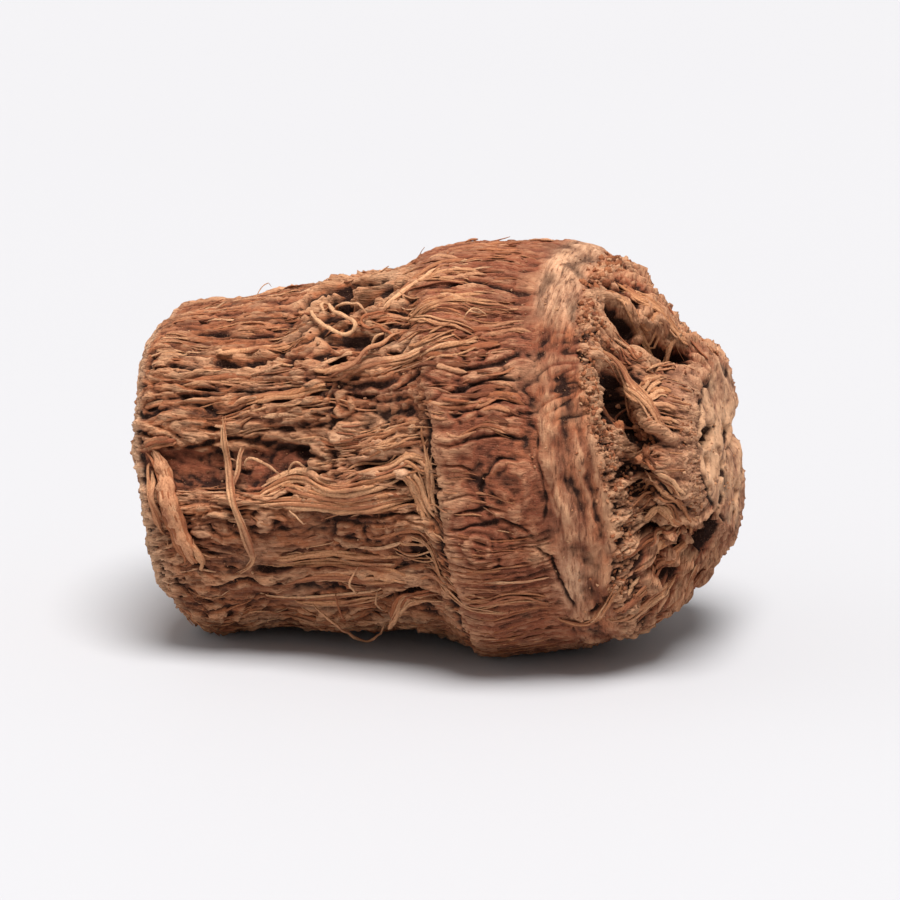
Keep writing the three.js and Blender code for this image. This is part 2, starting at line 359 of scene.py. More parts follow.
# Sharp cracks: width, depth and a route of (x, angle).
CRACKS = [
    (0.4, 0.6, [(-27.5, 19), (-24, 17.5), (-19.6, 18), (-16, 19.2), (-12.8, 18.4), (-9.5, 14.5), (-7, 12)]),
    (0.6, 1.8, [(-20.2, 48), (-17.5, 45.8), (-14.6, 45.5), (-12.0, 48.7)]),
    (1.1, 2.2, [(-10.8, 72), (-9.4, 74.5), (-8.0, 70), (-6.4, 66.5), (-4.8, 64.5), (-3.4, 65), (-2.9, 70),
        (-2.2, 73)]),
    (0.5, 1.3, [(-13.2, 70.5), (-12.1, 79), (-10.1, 81.2), (-8.0, 79.6), (-5.5, 77.4), (-3.6, 75)]),
    (0.45, 0.9, [(-7.0, 47), (-3.0, 46)]),
    (0.5, 1.1, [(-4.3, 7.5), (-2.4, 8.8), (-0.5, 9.4)]),
    (0.4, 1.0, [(0.1, 2.1), (2.0, 2.6)]),
    (0.35, 0.9, [(0.2, -4), (1.7, -3)]),
    (0.3, 0.35, [(-7.0, 33), (-6.5, 24), (-6.8, 15), (-5.6, 4)]),
    (0.3, 0.5, [(-26, 44), (-20, 43), (-14, 45), (-9, 42)]),
    (0.3, 0.5, [(-24, 33), (-17, 34.5), (-10, 32), (-5, 33)]),
    (0.34, 0.7, [(-15.4, -28), (-10, -27), (-5, -26), (0, -27)]),
    (0.3, 0.6, [(-20.6, -32), (-16.5, -30), (-11.7, -35)]),
    (0.45, 1.0, [(-2.6, -41), (2.0, -36), (4.7, -34)]),
    (0.4, 0.9, [(-4.3, 5.5), (-2.0, 8), (0.4, 9), (2.0, 10)]),
    (0.28, 0.7, [(-0.5, 2.0), (2.2, 3.4)]),
    (0.28, 0.7, [(-0.2, -4.5), (2.4, -4)]),
    (0.14, 0.4, [(3.9, 13), (6.2, 14), (8, 15.5), (10.7, 17), (13.6, 16)]),
    (0.13, 0.35, [(4.7, 7), (7.8, 8), (9.2, 7.2)]),
    (0.13, 0.32, [(9.5, -1.4), (9.1, 3), (9.5, 7), (10.9, 10), (13.3, 10.4)]),
    (0.13, 0.3, [(4.9, -2), (7.8, 0.6), (9.3, 1)]),
    (0.13, 0.35, [(5.5, -6), (8.0, -4), (10.0, -3), (12, -4.2)]),
    (0.16, 0.35, [(5.5, -10), (8.1, -7), (11.0, -6), (14.6, -11)]),
    (0.2, 0.45, [(5.6, 31), (8.6, 35), (12, 40)]),
    (0.2, 0.5, [(4.6, 26), (8.5, 30), (12.6, 33)]),
    (0.2, 0.4, [(5.2, 20), (8.6, 23.5), (12.6, 27)]),
    (0.3, 0.5, [(2.5, 60), (7, 62), (11.6, 60.5)]),
    (0.12, 0.26, [(14.3, 21), (14.4, 14), (15.0, 7), (15.5, 1), (15.0, -4), (14.9, -9)]),
    (0.12, 0.14, [(15.7, 25), (16.0, 19), (16.9, 13), (17.3, 5), (18.1, -2), (18.4, -11)]),
    (0.12, 0.22, [(16.2, 9), (16.0, 3), (16.6, -3), (16.4, -10)]),
    (1.2, 2.1, [(17.9, 66), (19.4, 66), (21.0, 62), (22.8, 65), (24.2, 71), (25.7, 77), (27.2, 80)]),
    (0.8, 1.6, [(19.3, 42), (19.9, 38), (20.8, 34), (21.9, 27.5), (23.7, 20.5), (25.2, 18.5)]),
    (0.4, 0.9, [(22.4, 11), (24.0, 8), (25.1, 4.5), (26.6, -4)]),
    (0.36, 0.8, [(22.3, 6), (24.0, 3), (26.0, -5), (27.2, -10)]),
    (0.36, 0.8, [(22.2, 0), (24.0, -3), (26.0, -10), (27.3, -15)]),
    (0.6, 1.3, [(22.4, -18), (24.6, -19.5), (26.6, -23), (28.2, -31)]),
    (0.2, 0.4, [(13.9, -12), (15.6, -19), (16.6, -29), (17.5, -37)]),
    (0.3, 0.5, [(22, -29), (20, -35), (18.4, -39)]),
]

# Raised ribs: half width, height and a route of (x, angle).
RIBS = [
    (0.55, 0.9, [(17.4, 67), (18.6, 72), (19.8, 74), (20.8, 72.5), (22.4, 75), (23.9, 80), (25.3, 86),
        (26.8, 94)]),
    (0.6, 0.9, [(17.6, 46.4), (18.8, 44), (20.2, 45.5), (22.5, 39.2), (23.7, 33.8), (24.9, 25.8),
        (26.0, 21.8), (27.6, 20.5)]),
    (0.8, 0.32, [(15.0, 24), (15.4, 15), (16.1, 7), (16.7, 0), (17.3, -9), (17.6, -14)]),
    (0.4, 0.36, [(18.5, 25), (19.2, 15.8), (19.9, 5.3), (20.7, -3), (20.6, -17)]),
    (0.34, 0.26, [(17.5, 25), (18.2, 11), (19.1, -1), (19.6, -12)]),
    (0.5, 0.5, [(21.8, -8.5), (22.9, -13.5), (24.6, -14.5), (26.2, -17), (28.3, -24)]),
    (0.4, 1.3, [(25.3, -19), (24.5, -30), (25.0, -43)]),
    (0.34, 1.2, [(26.4, -22.5), (25.6, -38), (25.0, -50)]),
    (0.34, 1.2, [(27.3, -28), (26.3, -40), (25.7, -52)]),
    (0.4, 1.2, [(23.7, -22), (22.9, -33), (23.4, -46)]),
    (0.3, 0.5, [(21.9, -27), (20.8, -32), (19.2, -39.5), (17.7, -38.6)]),
    (0.6, 0.5, [(-15.4, -30.6), (-10.5, -30), (-5.2, -28.4), (-0.5, -28.2), (4.0, -31.5)]),
    (0.35, 0.5, [(-7.9, 37), (-5.7, 36.4), (-4.1, 37.9), (-3.4, 40.8), (-2.0, 42.6)]),
]

# Calm patches of bark: low and high x, low and high angle, how calm they are and how deep they lie.
CALM = [
    (-28.5, -13, 53, 100, 0.6, 0.1),
    (-27.5, -9.2, 3.0, 16.0, 0.95, 0.8),
    (-22, 0.5, -27, -7, 0.65, 0.1),
    (-19, 3, -47, -32, 0.6, 0.2),
    (-6.5, 2.3, 20.5, 34, 0.6, 0.12),
]

# Scars of side roots: x, angle, radius, height and whether it is a ring.
SCARS = [
    (12.0, 3, 2.7, 0.18, 1), (9.1, -14.5, 1.4, 0.16, 1), (-13.2, -8, 1.2, 0.24, 0),
    (-20.0, -10.5, 1.1, 0.24, 0), (-4.7, -14.5, 1.5, 0.25, 1), (-5.5, 27, 1.2, 0.25, 1),
    (6.8, 158, 2.4, 0.4, 1), (-16, 140, 1.2, 0.3, 0),
]

# Where the bark has sunk: x, angle, half length, half angle and depth.
SUNK = [
    (-13, 102, 12, 26, 0.45), (-4.5, 102, 4.5, 26, 0.75), (21.5, 100, 4, 30, 0.6), (2.5, -76, 3.5, 24, 0.8),
    (-12, -76, 8, 20, 0.4),
]

# Pits of the crown's end face: y, height over the axis, half width, half height and depth.
END_PITS = [
    (-6.3, 3.7, 2.0, 1.1, 2.4), (1.0, 1.9, 2.2, 1.1, 2.4), (-7.6, 1.2, 1.0, 0.9, 1.5),
    (-2.6, -0.6, 1.5, 0.9, 1.6), (9.0, 1.6, 2.4, 1.0, 1.8), (3.2, -4.4, 1.6, 0.8, 1.5),
    (-5.6, -5.4, 1.8, 1.5, 1.4),
]

# Hollows: x, angle, half length, half width and depth.
HOLLOWS = [
    (-10.4, 68, 2.6, 0.9, 1.2), (-5.0, 71, 2.2, 0.9, 1.1), (-7.4, 61, 2.8, 1.9, 0.8),
    (-3.6, 66, 1.8, 0.8, 0.9), (-20.4, 61, 1.6, 0.5, 0.6), (-2.6, 32, 2.6, 0.6, 0.5),
    (-0.6, 23, 3.0, 2.0, 0.2), (-3.4, 44, 2.2, 0.7, 0.6), (2.6, -20, 1.6, 1.6, 0.5),
    (-4.6, -12, 3.2, 1.6, 0.3), (1.0, 66, 1.2, 0.5, 0.6), (-15, 205, 3, 1.2, 0.8), (-6, 240, 2.4, 1.2, 0.7),
    (8, 215, 2.2, 1.3, 0.6), (-20, 262, 2, 1.1, 0.7), (-8, 128, 2.6, 0.8, 0.8), (19.6, 67, 1.6, 1.7, 1.2),
    (22.2, 62, 1.5, 2.0, 1.3), (20.2, 33, 0.8, 3.4, 1.1), (23.4, 1, 1.6, 1.5, 1.0),
    (25.4, -8, 1.4, 1.0, 0.7), (27.2, -42, 1.9, 3.0, 1.9), (26.2, -29, 1.8, 1.0, 1.0),
    (26.8, -56, 2.0, 3.4, 1.2), (23.5, -33, 1.0, 0.6, 0.6), (22.0, 9, 0.8, 1.4, 0.8),
    (24.0, 150, 1.6, 2.2, 1.1), (22.4, 205, 1.2, 3.0, 1.0), (25.0, 262, 1.5, 1.4, 1.1),
]


def wander(x, t):
    """How far the grain strays sideways, in mm, so that its ridges join and part: broadly and finely."""
    return bark_noise(x, t, 8, 7, 11) * 1.5, bark_noise(x, t, 2.8, 2.4, 12) * 0.42


def grid_noise(along, across, seed):
    """Bark noise at every grid point."""
    return bark_noise(X, T, along, across, seed)


def calm_bark():
    """How calm the bark is, and how deep its calm patches lie."""
    calm, dug = np.zeros(X.shape), np.zeros(X.shape)
    ragged = grid_noise(2.2, 1.1, 73)
    x, a = X + 0.6 * ragged, A + 1.5 * ragged
    for x_low, x_high, a_low, a_high, amount, deep in CALM:
        inside = between(x, (x_low - 0.5, x_low + 0.5), (x_high - 0.3, x_high + 0.3))
        inside = inside * smooth(a, a_low - 3, a_low + 2) * (1 - smooth(a, a_high - 1, a_high + 1))
        calm, dug = np.maximum(calm, amount * inside), np.maximum(dug, deep * inside)
    return calm, dug


# -------- zones of the bark
# where the collar, the ridge and the crumb band lie at each angle
step_x, ridge_x, crumb_x = around_route(STEP, A), around_route(RIDGE, A), around_route(CRUMBS, A)

# the wandering grain in turns round the root, and what several zones share
w1, w2 = wander(X, T)
GRAIN = T + (w1 + w2) / AROUND
FAINT_GRAIN = T + (w1 * 0.6 + w2 * 0.6) / AROUND
strand = bark_noise(X, GRAIN, 3.8, 1.0, 22)
crease = bark_noise(X, GRAIN, 3.4, 0.48, 32)
wrinkle = bark_noise(X, FAINT_GRAIN, 3.4, 1.35, 33)
some = smooth(grid_noise(7, 5, 24), -0.35, 0.5)
lump = grid_noise(5, 4, 26)
grit = grid_noise(0.85, 0.95, 51)
fine_grit = grid_noise(0.42, 0.46, 52)
quiet, dug = calm_bark()
behind = between(TURNED, (120, 150), (290, 315))
from_ridge = X - ridge_x + w2 * 0.6


def find_zones():
    """How much each grid point belongs to each zone of the bark, and to some places in them."""
    ragged = grid_noise(9, 5, 1)
    collar = smooth(X + ragged * 0.5, step_x - 0.5, step_x + 0.7)
    past_ridge = smooth(X + ragged * 0.4, ridge_x - 2.6, ridge_x - 0.6)
    shank, band = 1 - collar, collar * (1 - past_ridge)
    ring = past_ridge * (1 - smooth(X + ragged * 0.4, crumb_x - 1.4, crumb_x - 0.4))
    crown = smooth(X + ragged * 0.4, crumb_x + 0.4, crumb_x + 1.6)
    smooth_top = between(A, (46, 58), (110, 150))
    smooth_top = smooth_top * smooth(from_ridge, -1.9, -1.0) * (1 - smooth(from_ridge, 2.2, 3.4))
    return SimpleNamespace(
        shank=shank,
        band=band,
        ring=ring,
        crumb=np.clip(1 - shank - band - ring - crown, 0, 1),
        crown=crown,
        smooth_top=smooth_top,
        pale_top=smooth_top * ring,
        lumpy=between(A, (18, 26), (42, 54)),
        lobe=between(A, (-24, -14), (60, 74)),
        crown_rim=smooth(X, CROWN_X - 2.4, CROWN_X - 0.6),
        cut_rim=1 - smooth(X + 0.6 * lump, CUT_X + 0.3, CUT_X + 2.2 + 3.4 * bell(A + 25, 26)),
    )


# -------- relief of each zone
def shank_relief():
    """Strands, fibres and ledges, broken up where the bark is rough and gentle where it is calm."""
    strip = bark_noise(X, GRAIN, 6.5, 1.9, 21)
    fibre = bark_noise(X, GRAIN, 2.4, 0.52, 23)
    slit = bark_noise(X, GRAIN, 4.5, 0.9, 27)
    rough = smooth(grid_noise(4.5, 2.6, 29), -0.15, 0.45)
    ledges, steep = 38, 0.86  # ledges round the root, and where each one starts to drop
    saw = (bark_noise(X, FAINT_GRAIN, 8, 5, 25) * 2.4 + T * ledges + w2 * 0.3) % 1.0
    ledge = np.where(saw < steep, saw / steep, (1 - saw) / (1 - steep))
    d = (
        0.5 * (folds(strip) - 0.62) * (0.4 + 0.8 * some)
        + 0.38 * ridges(strand) * (1 - 0.65 * rough)
        + 0.27 * ridges(fibre) * (1 - 0.4 * rough)
        + 0.14 * grains(grit) * rough
        + 0.62 * (ledge - 0.55) * (0.3 + 0.7 * some)
    ) * (1 - 0.8 * quiet)
    d = d + 0.3 * lump + 0.06 * fine_grit - dug - 0.6 * smooth(slit, 0.46, 0.62) * (1 - 0.4 * quiet)
    return d + 0.2 * grains(grit) * quiet * smooth(X, -8, -6)


# The kinds of bark on the collar, and the angles from 0 to 360 between which each lies.
COLLAR_BARK = {
    "long": [(44, 108), (236, 262)],
    "coarse": [(19, 44), (108, 150)],
    "panels": [(150, 196)],
}


def collar_relief():
    """Long fibres on top, coarse wrinkles beside them, flat panels at the front and fine waves below."""
    sector = {
        kind: sum(between(TURNED, (low - 5, low + 5), (high - 5, high + 5)) for low, high in spans)
        for kind, spans in COLLAR_BARK.items()
    }
    sector["panels"] = sector["panels"] + between(A, (-12, -4), (14, 23))
    waves = np.clip(1 - sum(sector.values()), 0, 1)
    long_crease = bark_noise(X, GRAIN, 7.5, 0.95, 31)
    wave = bark_noise(X, FAINT_GRAIN + 0.35 * grid_noise(4.5, 6, 36) / AROUND, 8.5, 0.62, 34)
    d = (
        sector["long"] * (0.36 * ridges(long_crease) + 0.16 * ridges(crease))
        + sector["coarse"] * (0.4 * ridges(wrinkle) + 0.24 * ridges(crease) + 0.3 * lump)
        + sector["panels"] * (0.1 * ridges(crease) + 0.3 * grid_noise(6, 3.2, 35) + 0.05 * grit)
        + waves * (0.3 * ridges(wave) + 0.13 * ridges(crease) + 0.16 * lump)
    ) + 0.14 * grid_noise(3.0, 2.6, 37) + 0.03 * fine_grit
    return d + behind * (0.24 * ridges(wrinkle) + 0.14 * ridges(crease))


def ring_relief():
    """Smooth on top, lumpy below that, pleated along its length at the front and wrinkled at the back."""
    bent = from_ridge + 1.3 * grid_noise(5, 4.0, 46)
    pleat = bark_noise(bent, T, 1.5, 7.0, 41)
    fine_pleat = bark_noise(from_ridge, T, 0.6, 5.0, 42)
    slanted = bark_noise(X + 0.8 * w2, T - X * 0.6 / AROUND, 3.2, 1.1, 45)
    d = (1 - 0.85 * zone.smooth_top) * (
        (1 - zone.lumpy) * (0.1 * ridges(pleat) * (0.4 + some) + 0.1 * ridges(fine_pleat))
        + zone.lumpy * (0.3 * grid_noise(2.2, 2.0, 44) + 0.34 * ridges(slanted) + 0.1 * ridges(fine_pleat))
    ) + 0.34 * grid_noise(2.2, 3.0, 43) + 0.04 * grit
    return d + behind * (0.34 * ridges(slanted) + 0.3 * ridges(pleat) + 0.12 * grains(grit))


def crumb_relief():
    return 0.5 * grains(grit) + 0.4 * grains(fine_grit) + 0.5 * grid_noise(1.8, 1.9, 53)


def crown_stripes(along, across, seed):
    """Stripes that run over the crown's lobe and fan out below it."""
    arch = A - 9 * bell(X - 25.2, 1.9) * (1 - smooth(A, 12, 40))
    arch = arch + 6 * smooth(X, 22.5, 26) * smooth(A, 24, 60)
    return bark_noise(X, arch / 360 + w2 * 0.5 / AROUND, along, across, seed)


def crown_relief(fine_stripes):
    """Stripes on the lobe, ropes below it and a grainy rim."""
    off_lobe = 1 - zone.lobe
    bare = zone.lobe * smooth(X + 0.4 * lump, 24.4, 26.2)
    ropes = bark_noise(X - arc(0.55 * A) + 0.5 * w2, T, 1.3, 4.5, 68)
    d = (
        (0.3 + 0.4 * off_lobe) * (1 - 0.7 * bare) * ridges(crown_stripes(4.2, 0.92, 61))
        + 0.8 * off_lobe * (folds(ropes, 0.5) - 0.6)
        + (0.32 - 0.24 * bare) * ridges(fine_stripes)
        + 0.34 * grid_noise(2.4, 2.8, 66)
        + 0.8 * smooth(A, 66, 76) * ridges(grid_noise(1.9, 1.1, 67))
        + 0.05 * fine_grit
    )
    d *= 1 - 0.75 * off_lobe * smooth(X, CROWN_X - 2.2, CROWN_X - 0.3)
    return d + zone.crown_rim * (0.16 * grains(grit) + 0.14 * grains(fine_grit))


def collar_ledge():
    """A sharp ledge where the collar begins; on top, fibres run over it."""
    edge = X + 0.1 * strand + 0.3 * grid_noise(3, 2.4, 71) - step_x
    step = 1 - 0.85 * smooth(TURNED, 12, 34) * (1 - smooth(TURNED, 130, 160))
    rise_and_fall = 0.42 * smooth(edge, -0.2, 0.25) - 0.42 * smooth(edge, 0.4, 5.0)
    return step * (rise_and_fall - 0.34 * bell(edge + 0.45, 0.4))


# -------- relief of single features
# d is the relief, and gap keeps how deep the bark's openings are. Both change in place, but add_ends gives a
# new relief.
def add_hollows(d, gap, fine_stripes):
    """Hollows with creased floors."""
    for x0, a0, half_x, half_y, deep in HOLLOWS:
        r = np.hypot((X - x0) / half_x, arc(angle_from(a0)) / half_y)
        gap += deep * (1 - smooth(r + 0.25 * strand, 0.5, 1.2)) * ON_SIDE
    floor = 0.4 * (folds(fine_stripes) - 0.5) + 0.25 * grains(grit)
    d += floor * zone.crown * smooth(gap, 0.2, 0.7) - gap


def add_lines(d, gap):
    """Cracks with raised edges, and ribs with a groove on both sides."""
    twist = grid_noise(3.4, 2.6, 75)
    stray = degrees_of(w2 * 0.6 + 0.4 * strand + 0.3 * twist)
    for width, depth, route in CRACKS:
        off, fade = along_line(route, X + 0.3 * twist, A + stray)
        d -= depth * fade * bell(off, width) * ON_SIDE
        gap += depth * fade * bell(off, width + 0.2) * ON_SIDE
        d += 0.25 * depth * fade * bell(off - np.sign(off) * width * 2.2, width * 1.3) * ON_SIDE
    stray = degrees_of(w2 * 0.6 + 0.3 * strand + 0.3 * twist)
    for width, height, route in RIBS:
        off, fade = along_line(route, X + 0.3 * twist, A + stray)
        groove = bell(np.abs(off) - 2.2 * width, 0.7 * width)
        d += height * fade * (bell(off, width) - 0.25 * groove) * ON_SIDE


def add_sunk(d):
    for x0, a0, half_x, half_a, deep in SUNK:
        d -= deep * bell(X - x0, half_x) * bell(angle_from(a0), half_a)


def add_scars(d):
    """Scars of side roots, as domes or rings with a groove round each. Gives a mask of the domes."""
    scars = np.zeros(X.shape)
    for x0, a0, radius, height, ringed in SCARS:
        r = np.hypot(X - x0, arc(angle_from(a0)) * 0.9) / radius
        r = r + 0.4 * grid_noise(1.6, 1.6, 72) + 0.1 * grit
        dome = (1 - smooth(r, 0.4, 1.0)) * (1 - ringed) + ringed * bell(r - 0.75, 0.28)
        d += height * (dome - 0.8 * bell(r - 1.12, 0.16) - ringed * 0.5 * bell(r - 0.2, 0.25)) * ON_SIDE
        scars += (1 - smooth(r, 0.7, 1.05)) * (1 - ringed) * ON_SIDE
    return scars


def add_ends(d, gap):
    """The end faces' lumps, rays, pores and pits in a ragged rim. Gives the relief and a mask of them."""
    y, z = base[:, :, 1], base[:, :, 2]

    def face_noise(y_size, z_size, shift, seed):
        return gradient_noise(y / y_size + shift, z / z_size + shift, seed)

    at_crown = X > 0
    lobed = smooth(A, -34, -24) * (1 - smooth(A, 76, 92)) * at_crown
    brink = 0.93 - 0.05 * lobed + 0.025 * grid_noise(3, 2.0, 74)
    flat = 1 - smooth(SHARE, brink, brink + 0.05)
    pits = face_noise(0.9, 0.9, 50, 81)
    pores = face_noise(0.38, 0.38, 50, 82)
    rays = gradient_noise(SHARE * 7 + 0.6 * pits, T * 90, 83, 90)
    d_end = (
        0.42 * face_noise(3.2, 3.2, 50, 84) + 0.05 * rays * smooth(SHARE, 0.1, 0.4) + 0.04 * grains(pores)
        + 0.05 * grains(pits) - 0.3 * smooth(face_noise(2.2, 1.3, 90, 86), 0.4, 0.6)
    )
    for y0, z0, half_y, half_z, deep in END_PITS:
        r = np.hypot((y - y0) / half_y, (z - axis_z(CROWN_X) - z0) / half_z)
        dent = deep * (1 - smooth(r + 0.3 * pits, 0.5, 1.3)) * at_crown
        d_end -= dent
        gap += dent * flat
    d = d * (1 - flat) + d_end * flat - 0.5 * bell(SHARE - brink - 0.03, 0.03) * lobed
    rim = bell(SHARE - 1.0, 0.05) * (SHARE < 0.999)
    return d + rim * 0.12 * gradient_noise(T * 60, T * 0 + 3.5, 85), flat


def relief():
    """How far the bark stands out from the CAD's surface, and the masks of gaps, scars and end faces."""
    fine_stripes = crown_stripes(2.4, 0.46, 62)
    d = (
        zone.shank * shank_relief() + zone.band * collar_relief() + zone.ring * ring_relief()
        + zone.crumb * crumb_relief() + zone.crown * crown_relief(fine_stripes)
    )
    d *= 1 - 0.5 * (1 - smooth(X, CUT_X, CUT_X + 1.4))
    d += 0.09 * (grit + 0.7 * fine_grit) * (1 - zone.pale_top) + zone.cut_rim * (0.22 * grains(grit) - 0.3)
    d += collar_ledge()
    gap = np.zeros(X.shape)
    add_hollows(d, gap, fine_stripes)
    add_lines(d, gap)
    add_sunk(d)
    scars = add_scars(d)
    d, flat = add_ends(d, gap)
    return d, gap, scars, flat


print("relief")
zone = find_zones()
rise, gap, scars, flat = relief()
calm = quiet * zone.shank
skin = base + normals * rise[:, :, None]
skin[:, :, 2] = np.maximum(skin[:, :, 2], 0.0)


# -------- meshes
def make_mesh(name, points, faces, sizes, fields):
    """A mesh object from points in mm, flat lists of corners and of corners per face, and point fields."""
    mesh = bpy.data.meshes.new(name)
    points = np.asarray(points, np.float32) * MM
    faces, sizes = np.asarray(faces, np.int32), np.asarray(sizes, np.int32)
    mesh.vertices.add(len(points))
    mesh.vertices.foreach_set("co", points.ravel())
    mesh.loops.add(len(faces))
    mesh.loops.foreach_set("vertex_index", faces)
    mesh.polygons.add(len(sizes))
    mesh.polygons.foreach_set("loop_start", np.concatenate([[0], np.cumsum(sizes)[:-1]]).astype(np.int32))
    mesh.polygons.foreach_set("use_smooth", np.ones(len(sizes), bool))
    mesh.update(calc_edges=True)
    for field, values in fields.items():
        values = np.asarray(values, np.float32)
        kind, key = ("FLOAT", "value") if values.ndim == 1 else ("FLOAT_VECTOR", "vector")
        mesh.attributes.new(field, kind, "POINT").data.foreach_set(key, values.ravel())
    mesh.validate()
    obj = bpy.data.objects.new(name, mesh)
    bpy.context.scene.collection.objects.link(obj)
    return obj


def closed_faces(rings, sides, flipped=False):
    """Corners and sizes of the faces of a closed form: rings of points, then its first and last point."""
    i, j = np.meshgrid(np.arange(rings - 1), np.arange(sides), indexing="ij")
    a, b = i * sides + j, i * sides + (j + 1) % sides
    quads = np.stack([a, a + sides, b + sides, b], -1).reshape(-1, 4)
    j = np.arange(sides)
    after = (j + 1) % sides
    end, top = rings * sides, (rings - 1) * sides
    first = np.stack([np.full(sides, end), j, after], -1)
    last = np.stack([np.full(sides, end + 1), top + after, top + j], -1)
    triangles = np.concatenate([first, last])
    if flipped:
        quads, triangles = quads[:, [0, 3, 2, 1]], triangles[:, [0, 2, 1]]
    sizes = np.concatenate([np.full(len(quads), 4), np.full(len(triangles), 3)])
    return np.concatenate([quads.ravel(), triangles.ravel()]), sizes


def skin_mesh(name, points, fields):
    """The bark as one closed mesh: the grid's rows, with the middle of each end as a single point."""
    rows, columns = points.shape[:2]
    ends = np.array([points[0].mean(0), points[-1].mean(0)])
    faces, sizes = closed_faces(rows - 2, columns)
    values = {k: np.concatenate([v[1:-1].ravel(), [v[0].mean(), v[-1].mean()]]) for k, v in fields.items()}
    return make_mesh(name, np.concatenate([points[1:-1].reshape(-1, 3), ends]), faces, sizes, values)


def thin_out(obj, most):
    """Fewer triangles, kept where the surface bends most."""
    count = sum(len(p.vertices) - 2 for p in obj.data.polygons)
    if count > most:
        thin = obj.modifiers.new("thin", "DECIMATE")
        thin.ratio = most / count
        thin.use_collapse_triangulate = True
        graph = bpy.context.evaluated_depsgraph_get()
        done = obj.evaluated_get(graph)
        mesh = bpy.data.meshes.new_from_object(done, preserve_all_data_layers=True, depsgraph=graph)
        obj.modifiers.clear()
        obj.data = mesh
    obj.data.polygons.foreach_set("use_smooth", np.ones(len(obj.data.polygons), bool))


# -------- where the bark is dark, pale and red
tone = grid_noise(6, 4, 91)
lumpy = zone.lumpy * zone.ring
cut_rim = zone.cut_rim * ON_SIDE
crown_rim = zone.crown_rim * ON_SIDE
front_panel = between(A, (-6, 2), (16, 20))


def spot(x0, half_x, a0, half_a):
    """A soft round spot on the bark."""
    return bell(X - x0, half_x) * bell(A - a0, half_a)


def cavity_field():
    """Painted shade: 0 deep in the bark's hollows and in darker spots, 1 on its highest ridges."""
    fine = rise - blur(rise, 3, 4)
    broad = blur(rise, 1, 2) - blur(rise, 12, 15)
    # painted shade in the shank's and the crown's hollows and on the crown's underside, darker spots at
    # three other places, and less at the cut rim and on the ring
    shade_and_dark_spots = (
        0.3 * spot(-7.5, 5.5, 58, 14) + 0.14 * spot(11, 3, 31, 7)
        + 0.1 * spot(-20.5, 4, -1.5, 5) + 0.05 * spot(10, 3, 4, 9)
        + zone.crown * (0.23 * bell(A + 44, 24) + 0.2 * spot(21, 3, 68, 9))
        - 0.16 * cut_rim - 0.06 * zone.ring * (1 - lumpy) * (1 - zone.pale_top)
    )
    # painted shade deep in the bark's gaps
    in_gap = (0.34 + 0.3 * zone.crown) * smooth(gap, 0.3, 1.2)
    return np.clip(0.5 - shade_and_dark_spots + 1.0 * fine + 0.75 * broad - in_gap, 0, 1)


def pale_field():
    """Where pale tissue or dust shows."""
    worn_lobe = zone.crown * zone.lobe * (0.1 + 0.14 * smooth(X, 24.5, 26.5))
    return np.clip(
        0.8 * zone.pale_top + 0.36 * zone.crumb + 1.15 * flat + 0.4 * scars + worn_lobe + 0.05 * zone.ring
        + 0.5 * smooth(tone, 0.25, 0.8) * zone.shank + 1.5 * cut_rim + 0.3 * crown_rim - 0.2 * lumpy
        - calm * (0.15 + 0.6 * front_panel) + 0.5 * zone.shank * spot(-1.2, 4.5, 9, 9)
        + spot(17.3, 1.3, -27, 9) + 0.12 * spot(16.8, 1.8, -8, 18) - 0.3 * spot(11, 3, 31, 7), 0, 1.5)


def red_field():
    """Where the bark is reddish."""
    return np.clip(
        0.92 * zone.band + 0.55 * zone.ring * (1 - zone.pale_top) + calm * (0.3 + 0.7 * front_panel)
        + zone.crown * (0.75 - 0.45 * zone.lobe) + 0.4 * smooth(-tone, 0.0, 0.6), 0, 1)


fields = {
    "cavity": cavity_field(),
    "pale": pale_field(),
    "red": red_field(),
    # the grain runs round the root where this is 1, and along it where this is 0
    "runs": np.clip(zone.ring + zone.crown * (1 - between(A, (-22, -12), (48, 58))), 0, 1),
    "flat": flat,
}
print("skin mesh")
body = skin_mesh("bark_body", skin, fields)
thin_out(body, MOST_TRIANGLES)
print("body triangles", len(body.data.polygons))


